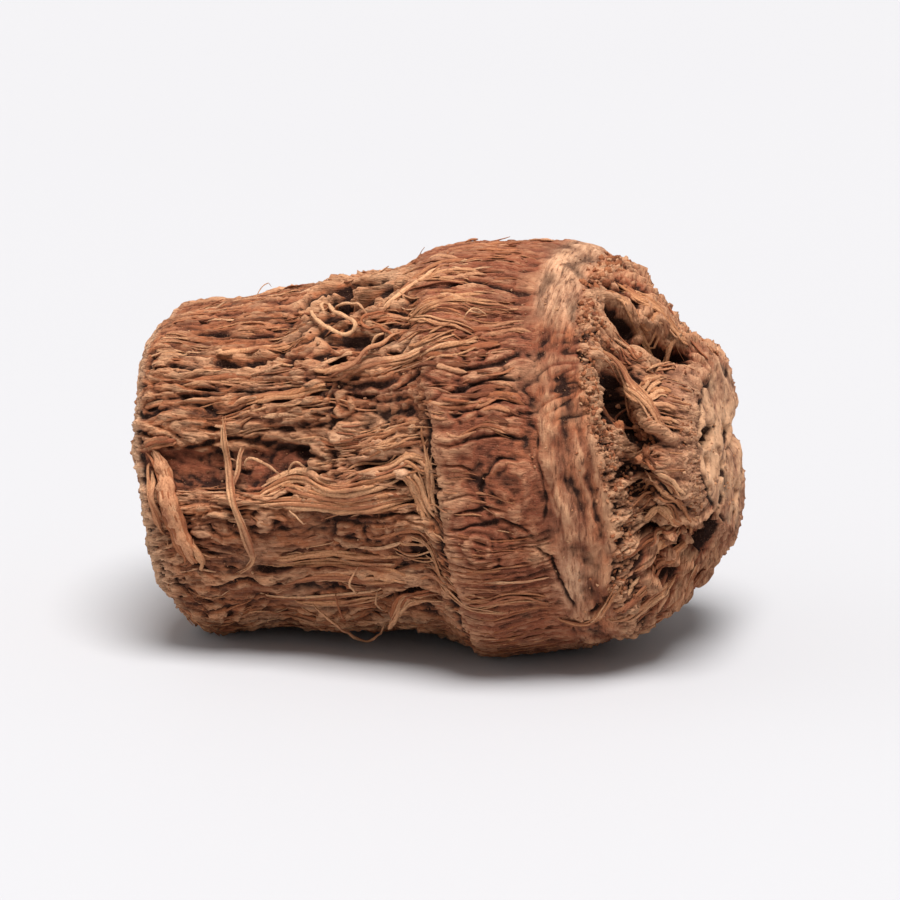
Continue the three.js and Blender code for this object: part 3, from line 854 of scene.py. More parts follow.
# -------- materials
class Shader:
    """A material, with short ways to add nodes to it."""

    def __init__(self, name):
        self.mat = bpy.data.materials.new(name)
        self.mat.use_nodes = True
        self.tree = self.mat.node_tree
        self.tree.nodes.clear()

    def add(self, kind, inputs=None, **settings):
        n = self.tree.nodes.new(kind)
        for key, value in settings.items():
            setattr(n, key, value)
        for key, value in (inputs or {}).items():
            self.put(n, key, value)
        return n

    def put(self, n, key, value):
        socket = n.inputs[key]
        if isinstance(value, bpy.types.NodeSocket):
            self.tree.links.new(value, socket)
        else:
            socket.default_value = value

    def attribute(self, name, output="Fac"):
        return self.add("ShaderNodeAttribute", attribute_name=name).outputs[output]

    def object_place(self):
        return self.add("ShaderNodeTexCoord").outputs["Object"]

    def mapped(self, vector, scale):
        return self.add("ShaderNodeMapping", {"Vector": vector, "Scale": scale}).outputs[0]

    def times(self, a, b):
        return self.add("ShaderNodeMath", {0: a, 1: b}, operation="MULTIPLY").outputs[0]

    def plus(self, a, b):
        return self.add("ShaderNodeMath", {0: a, 1: b}, operation="ADD").outputs[0]

    def noise(self, vector, scale, detail, rough=0.55, distortion=0.0):
        inputs = {"Vector": vector, "Scale": scale, "Detail": detail, "Roughness": rough}
        return self.add("ShaderNodeTexNoise", {**inputs, "Distortion": distortion}).outputs["Fac"]

    def range(self, value, a, b, c=0.0, d=1.0):
        return self.add("ShaderNodeMapRange", {0: value, 1: a, 2: b, 3: c, 4: d}, clamp=True).outputs[0]

    def mix(self, share, a, b):
        """A colour between two colours."""
        n = self.add("ShaderNodeMix", data_type="RGBA")
        self.put(n, 0, share)
        for key, value in ((6, a), (7, b)):
            self.put(n, key, value if isinstance(value, bpy.types.NodeSocket) else (*value, 1.0))
        return n.outputs[2]

    def blend(self, share, a, b):
        """A number between two numbers."""
        return self.add("ShaderNodeMix", {0: share, 2: a, 3: b}, data_type="FLOAT").outputs[0]

    def bump(self, height, strength, distance):
        inputs = {"Strength": strength, "Distance": distance, "Height": height}
        return self.add("ShaderNodeBump", inputs).outputs[0]

    def finish(self, colour, roughness, normal, specular=0.25):
        inputs = {"Base Color": colour, "Roughness": roughness, "Normal": normal}
        surface = self.add("ShaderNodeBsdfPrincipled", {**inputs, "Specular IOR Level": specular})
        out = self.add("ShaderNodeOutputMaterial")
        self.tree.links.new(surface.outputs[0], out.inputs[0])
        return self.mat


def srgb(*channels):
    """Linear light from a screen colour of 0 to 255."""
    parts = [c / 255 for c in channels]
    return tuple(p / 12.92 if p <= 0.04045 else ((p + 0.055) / 1.055) ** 2.4 for p in parts)


MID = srgb(182, 110, 70)
TAN = srgb(226, 172, 130)
PALE = srgb(252, 217, 186)
REDDISH = srgb(144, 78, 54)
RUST = srgb(118, 62, 38)
GREYISH = srgb(150, 118, 98)
BROWN = srgb(84, 45, 29)
DARK = srgb(34, 11, 4)

EVEN = (1000, 1000, 1000)  # noise scales: one cell to the millimetre both ways
ALONG_X = (150, 1000, 1000)  # cells drawn out along the root
ROUND_IT = (1000, 190, 190)  # cells drawn out round the root


def bark_material():
    s = Shader("bark")
    place = s.object_place()
    along, round_it, even = s.mapped(place, ALONG_X), s.mapped(place, ROUND_IT), s.mapped(place, EVEN)
    runs, flat = s.attribute("runs"), s.attribute("flat")
    cavity, pale, red = s.attribute("cavity"), s.attribute("pale"), s.attribute("red")

    def grain(scale, detail, distortion, on_ends):
        """Noise that follows the bark's grain, and has none on the end faces."""
        lengthwise = s.noise(along, scale, detail, 0.6, distortion)
        crosswise = s.noise(round_it, scale, detail, 0.6, distortion)
        return s.blend(flat, s.blend(runs, lengthwise, crosswise), on_ends)

    grit = s.noise(even, 7.0, 3, 0.65)
    strands = grain(1.3, 4, 0.4, s.noise(even, 0.4, 3, 0.6))
    fibres = grain(4.2, 3, 0.3, s.noise(even, 1.2, 3, 0.6))
    hairs = grain(11.0, 2, 0.2, grit)
    patches = s.noise(even, 0.22, 3, 0.6)
    worn_off = s.noise(even, 0.16, 4, 0.6)
    faded = s.noise(even, 0.13, 3, 0.6)
    colour = s.mix(s.range(strands, 0.36, 0.62), BROWN, MID)
    colour = s.mix(s.times(red, s.range(patches, 0.3, 0.7, 0.55, 0.95)), colour, REDDISH)
    colour = s.mix(s.range(worn_off, 0.56, 0.68, 0.0, 0.4), colour, TAN)
    colour = s.mix(s.range(faded, 0.54, 0.68, 0.0, 0.16), colour, GREYISH)
    # the highest ridges and the crests of the fibre bump are lighter
    tips = s.times(s.range(cavity, 0.52, 0.86), s.range(fibres, 0.34, 0.66, 0.25, 1.0))
    colour = s.mix(s.times(tips, 0.7), colour, TAN)
    # pale dust lies in streaks
    streaks = s.range(s.plus(strands, s.times(fibres, 0.5)), 0.62, 0.95, 0.2, 1.0)
    dust_colour = s.mix(s.times(s.range(grit, 0.35, 0.65), s.blend(flat, 0.5, 0.15)), TAN, PALE)
    colour = s.mix(s.times(pale, streaks), colour, dust_colour)
    # painted shade: the hollows, and the low parts of the fibre bump, are darkened
    colour = s.mix(s.range(cavity, 0.48, 0.2, 0.0, 0.96), colour, DARK)
    colour = s.mix(s.range(fibres, 0.43, 0.33, 0.0, 0.5), colour, DARK)
    colour = s.mix(s.range(patches, 0.54, 0.72, 0.0, 0.5), colour, BROWN)
    colour = s.mix(s.range(grit, 0.60, 0.76, 0.0, 0.36), colour, TAN)
    roughness = s.range(strands, 0.3, 0.7, 0.95, 0.78)
    height = s.plus(s.plus(fibres, s.times(hairs, 0.45)), s.times(grit, 0.35))
    return s.finish(colour, roughness, s.bump(height, 0.9, 0.0003))


def fibre_material(name, low, middle_tone, high, dark=0.5):
    """Streaked along each fibre, from low to high with its tone; dark is how much rust the streaks hold."""
    s = Shader(name)
    even = s.mapped(s.object_place(), EVEN)
    tone = s.attribute("tone")
    grit = s.noise(even, 4.5, 4, 0.72)
    streak = s.noise(s.attribute("grain", "Vector"), 3.6, 4, 0.68)
    patches = s.noise(even, 0.24, 3, 0.6)
    colour = s.mix(s.range(tone, 0.0, 0.55), low, middle_tone)
    colour = s.mix(s.range(tone, 0.5, 1.0), colour, high)
    colour = s.mix(s.range(streak, 0.48, 0.32, 0.0, dark), colour, RUST)
    colour = s.mix(s.range(streak, 0.56, 0.72, 0.0, 0.6), colour, TAN)
    colour = s.mix(s.range(grit, 0.52, 0.34, 0.0, 0.45), colour, RUST)
    colour = s.mix(s.range(patches, 0.5, 0.36, 0.0, 0.5), colour, REDDISH)
    height = s.plus(streak, s.times(grit, 0.7))
    return s.finish(colour, s.range(streak, 0.3, 0.7, 0.92, 0.75), s.bump(height, 0.8, 0.00022))


bark = bark_material()
fibres = fibre_material("fibres", BROWN, MID, TAN, 0.6)
pale_fibres = fibre_material("pale_fibres", REDDISH, srgb(204, 138, 93), srgb(238, 180, 134))
rootlet_skin = fibre_material("rootlet_skin", REDDISH, MID, srgb(234, 178, 132))
crumb_skin = fibre_material("crumb_skin", BROWN, MID, TAN)


def dress(obj, material):
    obj.data.materials.clear()
    obj.data.materials.append(material)
    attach(obj, "root")
    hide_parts("stillingia_root")


dress(body, bark)

# -------- places on the finished bark
steady = blur_points(skin, 1, 2)


def column_at(angle):
    """The grid's column at an angle, as a fraction."""
    return np.interp((angle / 360) % 1, np.append(turns, 1), np.arange(COLUMNS + 1))


def on_skin(x, angle):
    """The place and outward normal on the finished bark at x and angle."""
    c = column_at(angle)
    j = np.floor(c).astype(int) % COLUMNS
    k, g = (j + 1) % COLUMNS, (c - np.floor(c))[..., None]
    per_row = (CROWN_X - CUT_X) / (ROWS - 1)
    last = CAP_ROWS + ROWS - 1.001

    def pick(a, r):
        i = np.floor(r).astype(int)
        f = (r - i)[..., None]
        return (a[i, j] * (1 - g) + a[i, k] * g) * (1 - f) + (a[i + 1, j] * (1 - g) + a[i + 1, k] * g) * f

    r = np.clip(CAP_ROWS + (x - CUT_X) / per_row, CAP_ROWS, last)
    for _ in range(3):  # rows lean near the ends
        r = np.clip(r + (x - pick(steady, r)[..., 0]) / per_row, CAP_ROWS, last)
    n = pick(normals, r)
    return pick(steady, r), n / np.linalg.norm(n, axis=-1, keepdims=True)


def sample(grid, x, angle):
    """The value of a grid at the nearest point to x and angle."""
    r = CAP_ROWS + np.clip((x - CUT_X) / (CROWN_X - CUT_X), 0, 1) * (ROWS - 1)
    return grid[np.rint(r).astype(int), np.rint(column_at(angle)).astype(int) % COLUMNS]


def on_end(crown, part, angle):
    """The place and outward normal on an end face, at part of the way from its middle to its rim."""
    c = column_at(angle).astype(int) % COLUMNS
    rows = np.interp(part * END_REACH, share[:CAP_ROWS], np.arange(CAP_ROWS))
    r = np.rint(len(share) - 1 - rows if crown else rows).astype(int)
    return steady[r, c], normals[r, c]


def ease(a, times):
    """Evens out a path's points along its length."""
    for _ in range(times):
        a = np.concatenate([a[:, :1], (a[:, :-2] + 2 * a[:, 1:-1] + a[:, 2:]) / 4, a[:, -1:]], 1)
    return a


def log_size(rng, span, shape):
    """Random sizes between two limits, spread evenly on a log scale."""
    return np.exp(rng.uniform(math.log(span[0]), math.log(span[1]), shape))


# -------- fibres and crumbs
SIDES = 8  # of a fibre and of a crumb
CRUMB_RINGS = 5
LOWEST = 0.02  # nothing lies under the floor


class Strands:
    """Fibres or crumbs gathered into one mesh."""

    def __init__(self):
        self.points, self.faces, self.sizes = [], [], []
        self.fields = {"tone": [], "grain": []}
        self.count = self.triangles = 0

    def keep(self, points, rings, tone, grain, flipped=False):
        """Adds closed forms, each with its rings of points and its two end points."""
        points[:, :, 2] = np.maximum(points[:, :, 2], LOWEST)
        forms, per_form = points.shape[:2]
        corners, sizes = closed_faces(rings, SIDES, flipped)
        first_point = self.count + np.arange(forms) * per_form
        self.faces.append((corners[None] + first_point[:, None]).ravel())
        self.sizes.append(np.tile(sizes, forms))
        self.points.append(points.reshape(-1, 3))
        self.fields["tone"].append(tone)
        self.fields["grain"].append(grain.reshape(-1, 3))
        self.count += forms * per_form
        self.triangles += int((sizes - 2).sum()) * forms

    def tubes(self, points, normal, width, thick, tone, seed, tilt=0.25):
        """Closed flattened tubes along paths of points. width and thick are half sizes in mm."""
        count, rings = points.shape[:2]
        rng = np.random.default_rng(seed)
        uneven = rng.uniform(0.62, 1.25, (count, 1, SIDES, 1))
        uneven = uneven * (1 + 0.12 * rng.normal(size=(count, rings, SIDES, 1)))
        way = np.gradient(points, axis=1)
        way /= np.linalg.norm(way, axis=2, keepdims=True) + 1e-9
        side = np.cross(way, normal)
        side /= np.linalg.norm(side, axis=2, keepdims=True) + 1e-9
        up = np.cross(side, way)
        roll = rng.normal(0, 1, (count, 1, 1))
        twist = rng.normal(0, 1.5, (count, 1, 1))
        roll = tilt * (roll + np.linspace(-0.5, 0.5, rings)[None, :, None] * twist)
        side, up = side * np.cos(roll) + up * np.sin(roll), up * np.cos(roll) - side * np.sin(roll)
        phi = np.arange(SIDES) / SIDES * 2 * math.pi
        ring = (
            side[:, :, None] * (np.cos(phi)[:, None] * width[:, :, None, None])
            + up[:, :, None] * (np.sin(phi)[:, None] * thick[:, :, None, None])
        ) * uneven
        tips = [points[:, 0] - way[:, 0] * width[:, :1], points[:, -1] + way[:, -1] * width[:, -1:]]
        every = np.concatenate([(points[:, :, None] + ring).reshape(count, -1, 3), np.stack(tips, 1)], 1)
        # the streaks run along each fibre
        steps = np.linalg.norm(np.diff(points, axis=1), axis=2)
        gone = np.concatenate([np.zeros((count, 1)), np.cumsum(steps, 1)], 1)
        start = rng.random((count, 1, 1)) * 200
        streaks = [gone[:, :, None] * 0.28 + start, np.cos(phi) * 0.9 + start, np.sin(phi) * 0.9]
        grain = np.stack([np.broadcast_to(g, (count, rings, SIDES)) for g in streaks], -1)
        grain = grain.reshape(count, -1, 3)
        grain = np.concatenate([grain, grain[:, :1], grain[:, -1:]], 1)
        # painted shade: each fibre's tone is raised on its top side and lowered on its underside
        shade = np.concatenate([np.tile(0.16 * np.sin(phi), rings), [0, 0]])
        self.keep(every, rings, (tone[:, None] + shade).ravel(), grain, flipped=True)

    def lumps(self, places, normal, size, tone, seed):
        """Small uneven closed lumps."""
        rng = np.random.default_rng(seed)
        lat = (np.arange(CRUMB_RINGS) + 1) / (CRUMB_RINGS + 1) * math.pi
        phi = np.arange(SIDES) / SIDES * 2 * math.pi
        reach = np.sin(lat)[:, None]
        ball = [reach * np.cos(phi), reach * np.sin(phi), np.cos(lat)[:, None] * np.ones(SIDES)]
        ball = np.concatenate([np.stack(ball, -1).reshape(-1, 3), [[0, 0, 1]], [[0, 0, -1]]])
        count = len(places)
        turn = np.linalg.qr(rng.normal(size=(count, 3, 3)))[0]
        turn *= np.sign(np.linalg.det(turn))[:, None, None]
        stretch = rng.uniform(0.45, 1.35, (count, 1, 3))
        bumpy = rng.uniform(0.55, 1.3, (count, len(ball), 1))
        points = np.einsum("sij,skj->ski", turn, ball[None] * stretch * bumpy) * size[:, None, None]
        points = points + (places + normal * size[:, None] * 0.1)[:, None]
        grain = np.repeat(rng.random((count, 1, 3)) * 100, len(ball), 1) + ball[None] * 0.8
        self.keep(points, CRUMB_RINGS, np.repeat(tone, len(ball)), grain)

    def build(self, name, material):
        fields = {k: np.concatenate(v) for k, v in self.fields.items()}
        points, faces, sizes = (np.concatenate(a) for a in (self.points, self.faces, self.sizes))
        dress(make_mesh(name, points, faces, sizes, fields), material)
        print(name, self.triangles, "triangles")


def taper(points):
    """Half-width along a fibre: full in the middle and thin at its ends."""
    u = np.linspace(0, 1, points)
    return np.clip(np.minimum(u, 1 - u) / 0.25, 0.0, 1) ** 0.6 * 0.85 + 0.15


def sunk_ends(points, deep, reach):
    """Height along a fibre whose two ends go into the bark."""
    u = np.linspace(0, 1, points)
    return -deep * (1 - smooth(np.minimum(u, 1 - u), 0, reach))


def lying_fibres(strands, seed, count, x_range, a_range, length, half, points, keep, lift=0.05, free=0.12,
                 middle=0.5, stop=None):
    """Fibres that follow the bark's wandering grain, where keep lets them and not past stop."""
    rng = np.random.default_rng(seed)
    tries = count * 4
    x0 = rng.uniform(*x_range, tries)
    a0 = rng.uniform(*a_range, tries)
    long = log_size(rng, length, tries)
    wanted = rng.random(tries) < keep(x0, a0)
    if stop is not None:
        wanted &= x0 + long / 2 < stop(a0)
    chosen = np.flatnonzero(wanted)[:count]
    x0, a0, long = x0[chosen], a0[chosen], long[chosen]
    wide = log_size(rng, half, len(x0))
    u = np.linspace(-0.5, 0.5, points)
    turn = np.radians(rng.normal(0, 6, len(x0)))[:, None]
    x = x0[:, None] + np.cos(turn) * long[:, None] * u
    x = np.clip(x, CUT_X + 1.8 + 3.0 * bell(a0[:, None] + 20, 28), CROWN_X - 1.4)
    straight = a0[:, None] / 360 + np.sin(turn) * long[:, None] * u / AROUND
    t = straight
    for _ in range(2):
        broadly, finely = wander(x, t)
        t = straight - (broadly + finely) / AROUND
    clear = sample(gap, x, t * 360)[:, 1:-1].max(1) < 0.42
    clear &= rng.random(len(x0)) > 1.1 * sample(calm, x, t * 360).mean(1)
    x, t, x0, a0, wide = x[clear], t[clear], x0[clear], a0[clear], wide[clear]
    count = len(x0)
    path, n = on_skin(x, t * 360)
    path = ease(path, 2)
    n = ease(n, 3)
    n /= np.linalg.norm(n, axis=2, keepdims=True)
    height = lift * rng.uniform(0.2, 1.6, (count, 1))
    height = height + sunk_ends(points, 0.3, 0.18) * (0.4 + wide[:, None] * 1.2)
    loose = (rng.random((count, 1)) < free) * rng.uniform(0.2, 0.7, (count, 1))
    height = height + loose * np.maximum(u * 2, 0) ** 1.5
    knobs = gradient_noise(x * 0.9, np.arange(count)[:, None] * 7.3 + x * 0, seed + 5)
    width = wide[:, None] * taper(points)[None] * (1 + 0.5 * knobs)
    thick = width * rng.uniform(0.25, 0.5, (count, 1)) + 0.03
    tone = np.clip(rng.normal(middle, 0.24, count) + 0.3 * bark_noise(x0, a0 / 360, 6, 5, 92), 0, 1)
    strands.tubes(path + n * height[:, :, None], n, width, thick, tone, seed, 0.32)


def bundle(strands, route, count, spread, half, part, tone, seed, lift=0.12, heap=0.25, points=20, ends=0.6,
           frizz=0.16, flat=0.55):
    """Fibres side by side along a route of (x, angle) or (x, angle, height), each on part of its length."""
    rng = np.random.default_rng(seed + len(route) * 7 + int(abs(route[0][0]) * 10))
    at = np.array([(*r, 0.0)[:3] for r in route], float)
    gaps = np.hypot(np.diff(at[:, 0]), np.diff(at[:, 1]) * MM_PER_DEGREE)
    total = gaps.sum()
    knots = np.concatenate([[0], np.cumsum(gaps)]) / total
    long = rng.uniform(*part, count)
    start = rng.random(count) * (1 - long)
    s = start[:, None] + long[:, None] * np.linspace(0, 1, points)
    path = refine(at, np.interp(s.ravel(), knots, np.arange(len(at)))).reshape(count, points, 3)
    x, a, h = path[:, :, 0], path[:, :, 1], path[:, :, 2]
    dx, dy = np.gradient(x, axis=1), np.gradient(a, axis=1) * MM_PER_DEGREE
    n = np.hypot(dx, dy) + 1e-9
    place = rng.normal(0, 1, (count, 1)).clip(-2, 2) if count > 1 else np.zeros((1, 1))
    waves, shift = rng.uniform(0.6, 2.2, (count, 1)), rng.random((count, 1))
    offset = place * spread + frizz * np.sin(2 * math.pi * (s * waves * total / 6 + shift))
    x2, a2 = x - dy / n * offset, a + dx / n * offset / MM_PER_DEGREE
    middle_line, normal = on_skin(np.clip(x2, CUT_X + 0.1, CROWN_X - 0.1), a2)
    middle_line, normal = ease(middle_line, 4), ease(normal, 4)
    normal /= np.linalg.norm(normal, axis=2, keepdims=True)
    wide = log_size(rng, half, (count, 1))
    height = lift * rng.uniform(0.4, 1.4, (count, 1))
    height = height + heap * np.exp(-place**2) * rng.random((count, 1)) + h
    height = height + sunk_ends(points, ends, 0.14)
    knobs = gradient_noise(s * total * 0.8 + 3, np.arange(count)[:, None] * 7.3 + s * 0, seed + 9)
    width = wide * taper(points)[None] * (1 + 0.35 * knobs)
    thick = width * flat * rng.uniform(0.8, 1.2, (count, 1))
    tones = np.clip(rng.normal(tone, 0.22, count), 0, 1)
    strands.tubes(middle_line + normal * height[:, :, None], normal, width, thick, tones, seed + 1)


def crumb_tones(rng, tone, count):
    return np.clip(rng.normal(tone, 0.2, count), 0, 1)


def crumbs(strands, route, count, spread, size, seed, tone):
    """Crumbs strewn along a route of (x, angle)."""
    rng = np.random.default_rng(seed)
    at = np.array(route, float)
    path = refine(at, rng.random(count) * (len(at) - 1))
    off = rng.normal(0, 1, (count, 2)).clip(-1.8, 1.8) * spread
    x = np.clip(path[:, 0] + off[:, 0], CUT_X + 0.2, CROWN_X - 0.2)
    places, normal = on_skin(x, path[:, 1] + degrees_of(off[:, 1]))
    sizes = log_size(rng, size, count)
    strands.lumps(places, normal, sizes, crumb_tones(rng, tone, count), seed)


def end_crumbs(strands, crown, count, part, size, seed, tone):
    """Crumbs on an end face, the crown's or the cut one."""
    rng = np.random.default_rng(seed)
    places, normal = on_end(crown, rng.uniform(*part, count) ** 0.7, rng.random(count) * 360)
    sizes = log_size(rng, size, count)
    strands.lumps(places, normal, sizes, crumb_tones(rng, tone, count), seed)


def dust(strands, count, x_range, a_range, size, seed):
    """Specks of any tone all over a part of the bark."""
    rng = np.random.default_rng(seed)
    places, normal = on_skin(rng.uniform(*x_range, count), rng.uniform(*a_range, count))
    sizes = log_size(rng, size, count)
    strands.lumps(places, normal, sizes, rng.random(count), seed)


# -------- fibres that lie on the bark
def shank_keep(x, a):
    crack = 1 - 0.9 * bell(arc(a - 14), 2.4) * (x < -7)
    hollow = 1 - 0.8 * bell(x + 0.5, 4) * bell(a - 23, 7)
    return crack * hollow * (0.75 + 0.25 * (a > 15)) * (x < around_route(STEP, a) - 0.2)


def back_keep(x, a):
    return x < 1


def past_step(x, a):
    return x > around_route(STEP, a)


def past_crevice(x, a):
    return x > around_route(CREVICE, a)


def before_ridge(a):
    return around_route(RIDGE, a) - 1.8


bark_fibres, back_fibres, fine_fibres = Strands(), Strands(), Strands()

# along the shank
lying_fibres(bark_fibres, 101, 330, (-27, 5), (-70, 106), (2.0, 8), (0.07, 0.34), 10, shank_keep, lift=0.02)
lying_fibres(back_fibres, 103, 480, (-27, 5), (100, 292), (3, 11), (0.16, 0.6), 12, back_keep)
lying_fibres(fine_fibres, 102, 320, (-27, 5), (-60, 100), (1.6, 5), (0.05, 0.13), 9, shank_keep, lift=0.1,
             free=0.25)

# on the collar, many on its top and few at its front: seed, count, x, angles, lengths, half widths and tone
for strands, seed, count, x_range, a_range, length, half, middle in [
    (bark_fibres, 104, 70, (0, 13), (44, 108), (3, 8), (0.10, 0.34), 0.42),
    (bark_fibres, 105, 70, (4, 17), (-72, -9), (4, 9), (0.07, 0.2), 0.3),
    (back_fibres, 106, 170, (1, 13), (108, 290), (3, 8), (0.1, 0.34), 0.4),
    (bark_fibres, 109, 60, (3, 12), (17, 44), (2, 5.5), (0.1, 0.34), 0.36),
]:
    lying_fibres(strands, seed, count, x_range, a_range, length, half, 12, past_step, middle=middle,
                 stop=before_ridge)

# on the crown
lying_fibres(bark_fibres, 107, 70, (17, 27.5), (-70, -16), (2.5, 6), (0.14, 0.45), 12, past_crevice,
             middle=0.3)
lying_fibres(back_fibres, 108, 130, (18, 27.5), (86, 290), (2.5, 7), (0.12, 0.4), 12, past_crevice)

# fine ones on the crown and on the collar
lying_fibres(fine_fibres, 110, 70, (17, 27), (-24, 100), (1.6, 4), (0.05, 0.13), 9, past_crevice)
lying_fibres(fine_fibres, 111, 70, (3, 12), (-70, 100), (1.6, 4), (0.05, 0.12), 9, past_step, middle=0.3,
             stop=before_ridge)

# -------- bundles that stand out
raised_fibres, rootlets = Strands(), Strands()
# route, number of fibres, spread, half widths and tone
for route, count, spread, half, tone in [
    ([(-15, -1), (-13.2, 3.4), (-11.2, 6.4), (-9.2, 5.6), (-7.2, 2), (-4.8, 1), (-1.7, 2.4), (0.8, 4.4),
        (2.8, 4)], 10, 0.42, (0.12, 0.28), 0.56),
    ([(-15.6, -3), (-12, -2.4), (-8.6, -3.6), (-5.5, -5), (-2.4, -4.6), (0.7, -3),
        (3.0, -4)], 9, 0.4, (0.12, 0.26), 0.50),
    ([(-13.6, 0.6), (-11.2, 2), (-8.7, -1), (-5.0, -2.6), (-1.4, -1), (1.8, 0)], 7, 0.35, (0.12, 0.26),
        0.38),
    ([(-5.8, 3), (-3.6, 6), (-0.4, 7), (1.6, 10), (3.7, 9)], 7, 0.45, (0.1, 0.24), 0.58),
    ([(-4.9, 12), (-2.2, 15), (0.4, 17), (2.6, 18)], 6, 0.4, (0.1, 0.24), 0.48),
    ([(-4.8, 16), (-1.7, 17), (0.6, 18)], 4, 0.35, (0.09, 0.2), 0.43),
    ([(-3.8, 10), (-1.5, 12.5), (1.2, 13.5), (3.2, 15)], 5, 0.4, (0.1, 0.22), 0.48),
    ([(1.2, 7), (2.2, 2), (2.8, -4), (3.8, -10)], 12, 0.6, (0.12, 0.3), 0.60),
    ([(0.2, 9), (2.0, 8), (3.6, 5)], 5, 0.4, (0.1, 0.24), 0.63),
    ([(2.9, 20), (3.5, 8), (3.8, -4), (4.2, -9)], 9, 0.25, (0.08, 0.18), 0.58),
    ([(-7.8, 38), (-5.2, 36), (-2.8, 38), (0.3, 38), (3.1, 39), (6.6, 45)], 9, 0.5, (0.12, 0.26), 0.53),
    ([(0.1, 42), (2.9, 42), (5.7, 45)], 6, 0.5, (0.1, 0.22), 0.53),
    ([(0.6, 37), (5.1, 39), (7.9, 43)], 6, 0.45, (0.1, 0.2), 0.48),
    ([(-0.8, 54), (2.5, 47), (5.2, 45), (7.8, 44)], 4, 0.4, (0.1, 0.24), 0.58),
    ([(-3.4, 55), (-1.6, 61), (0.4, 67), (3.0, 71), (6.0, 72)], 9, 0.7, (0.16, 0.36), 0.43),
    ([(-1.7, 60), (-0.5, 64), (2.3, 63), (6.4, 62)], 9, 0.8, (0.1, 0.26), 0.48),
    ([(-1.0, 51), (2.1, 52), (5.9, 54), (10.6, 56)], 9, 0.7, (0.1, 0.24), 0.48),
    ([(2.0, 54), (7.1, 51), (10.9, 52)], 5, 0.5, (0.08, 0.2), 0.38),
    ([(-16.9, 29.5), (-14.3, 31), (-10.1, 31.5), (-7.0, 33)], 6, 0.5, (0.14, 0.34), 0.5),
    ([(-9.6, 38), (-7.6, 36.5), (-5.2, 37.5), (-2.6, 39)], 5, 0.4, (0.12, 0.3), 0.43),
    ([(-20.6, 52), (-17.6, 52), (-14.6, 51.5), (-12.0, 53.5)], 6, 0.4, (0.2, 0.44), 0.5),
    ([(-27, 53), (-24.6, 52), (-22.6, 53)], 7, 0.7, (0.06, 0.12), 0.8),
    ([(-15.4, -25), (-10.4, -24.4), (-5.1, -24), (0.1, -25), (3.4, -29)], 9, 0.5, (0.12, 0.3), 0.50),
    ([(-12.6, -33), (-7.3, -30), (-1.1, -31), (3.6, -33)], 6, 0.5, (0.12, 0.28), 0.33),
    ([(-16.0, -41), (-11.3, -44), (-5.7, -41), (-0.4, -37)], 7, 0.7, (0.14, 0.36), 0.30),
    ([(-0.4, -17), (2.3, -21), (4.6, -17)], 6, 0.5, (0.09, 0.2), 0.60),
    ([(1.6, -13), (3.8, -19), (5.2, -26)], 6, 0.5, (0.09, 0.22), 0.58),
    ([(2.2, -26), (4.4, -26), (7.6, -30), (12, -33)], 6, 0.5, (0.1, 0.2), 0.48),
    ([(5.9, -32), (9.6, -30), (12.5, -29), (16.0, -34)], 6, 0.6, (0.09, 0.2), 0.38),
]:
    bundle(raised_fibres, route, count, spread, half, (0.45, 1.0), tone, 300)

# the crown's folds
crown_folds = Strands()
for route, count, spread, half, tone in [
    ([(17.7, 45.2), (18.9, 43.5), (20.1, 46.3, 0.2), (22.1, 39, 0.3), (23.1, 36.3, 0.2), (24.3, 30.1),
        (25.4, 24)], 13, 0.42, (0.12, 0.26), 0.5),
    ([(17.5, 68), (18.7, 72.8), (20.0, 74.4), (20.8, 72.4), (21.6, 70.7), (22.4, 72.9), (23.6, 80.4),
        (25.2, 90)], 7, 0.26, (0.14, 0.3), 0.5),
    ([(17.8, 82), (20.8, 79), (22.8, 81), (25.3, 88)], 9, 0.5, (0.12, 0.31), 0.45),
    ([(17.2, 96), (20, 94), (23, 96), (25.5, 97)], 8, 0.7, (0.12, 0.31), 0.45),
    ([(22.6, 47), (23.6, 54), (25.2, 58)], 4, 0.35, (0.12, 0.28), 0.55),
    ([(22.7, 39.5), (23.7, 46), (25.0, 48.5)], 5, 0.3, (0.12, 0.28), 0.6),
    ([(23.0, 36), (24.2, 40.5), (25.4, 40.5)], 5, 0.3, (0.12, 0.3), 0.6),
    ([(23.6, 33), (24.8, 35), (26.0, 33)], 5, 0.3, (0.12, 0.3), 0.6),
    ([(24.2, 28), (25.4, 29), (26.4, 27)], 4, 0.3, (0.12, 0.28), 0.58),
    ([(22.3, 1), (24.1, 8), (25.8, 3), (27.2, -7)], 6, 0.4, (0.1, 0.24), 0.36),
    ([(22.4, -4), (24.0, 3), (25.7, -3), (27.2, -15)], 6, 0.4, (0.1, 0.24), 0.3),
    ([(22.5, -10), (24.1, -2), (25.8, -10), (27.2, -24)], 6, 0.4, (0.1, 0.26), 0.36),
    ([(22.9, -16), (24.5, -8), (26.1, -16), (27.5, -27)], 6, 0.3, (0.14, 0.32), 0.5),
    ([(23.0, -27), (23.9, -22), (25.3, -20), (27.0, -25)], 4, 0.3, (0.18, 0.4), 0.42),
    ([(23.6, -33), (24.6, -28), (26.0, -27), (27.2, -34)], 4, 0.3, (0.18, 0.4), 0.38),
    ([(24.6, -42), (25.4, -35), (26.4, -33), (27.2, -38)], 4, 0.3, (0.18, 0.4), 0.38),
    ([(19.3, -45), (22.7, -47), (25.0, -49), (26.6, -49)], 6, 0.5, (0.16, 0.36), 0.45),
    ([(20.6, -40), (22.8, -39), (24.4, -34)], 4, 0.4, (0.16, 0.36), 0.42),
    ([(15.0, -39), (18.4, -42), (20.4, -35), (22.2, -27)], 8, 0.25, (0.1, 0.24), 0.55),
]:
    bundle(crown_folds, route, count, spread, half, (0.55, 1.0), tone, 400)

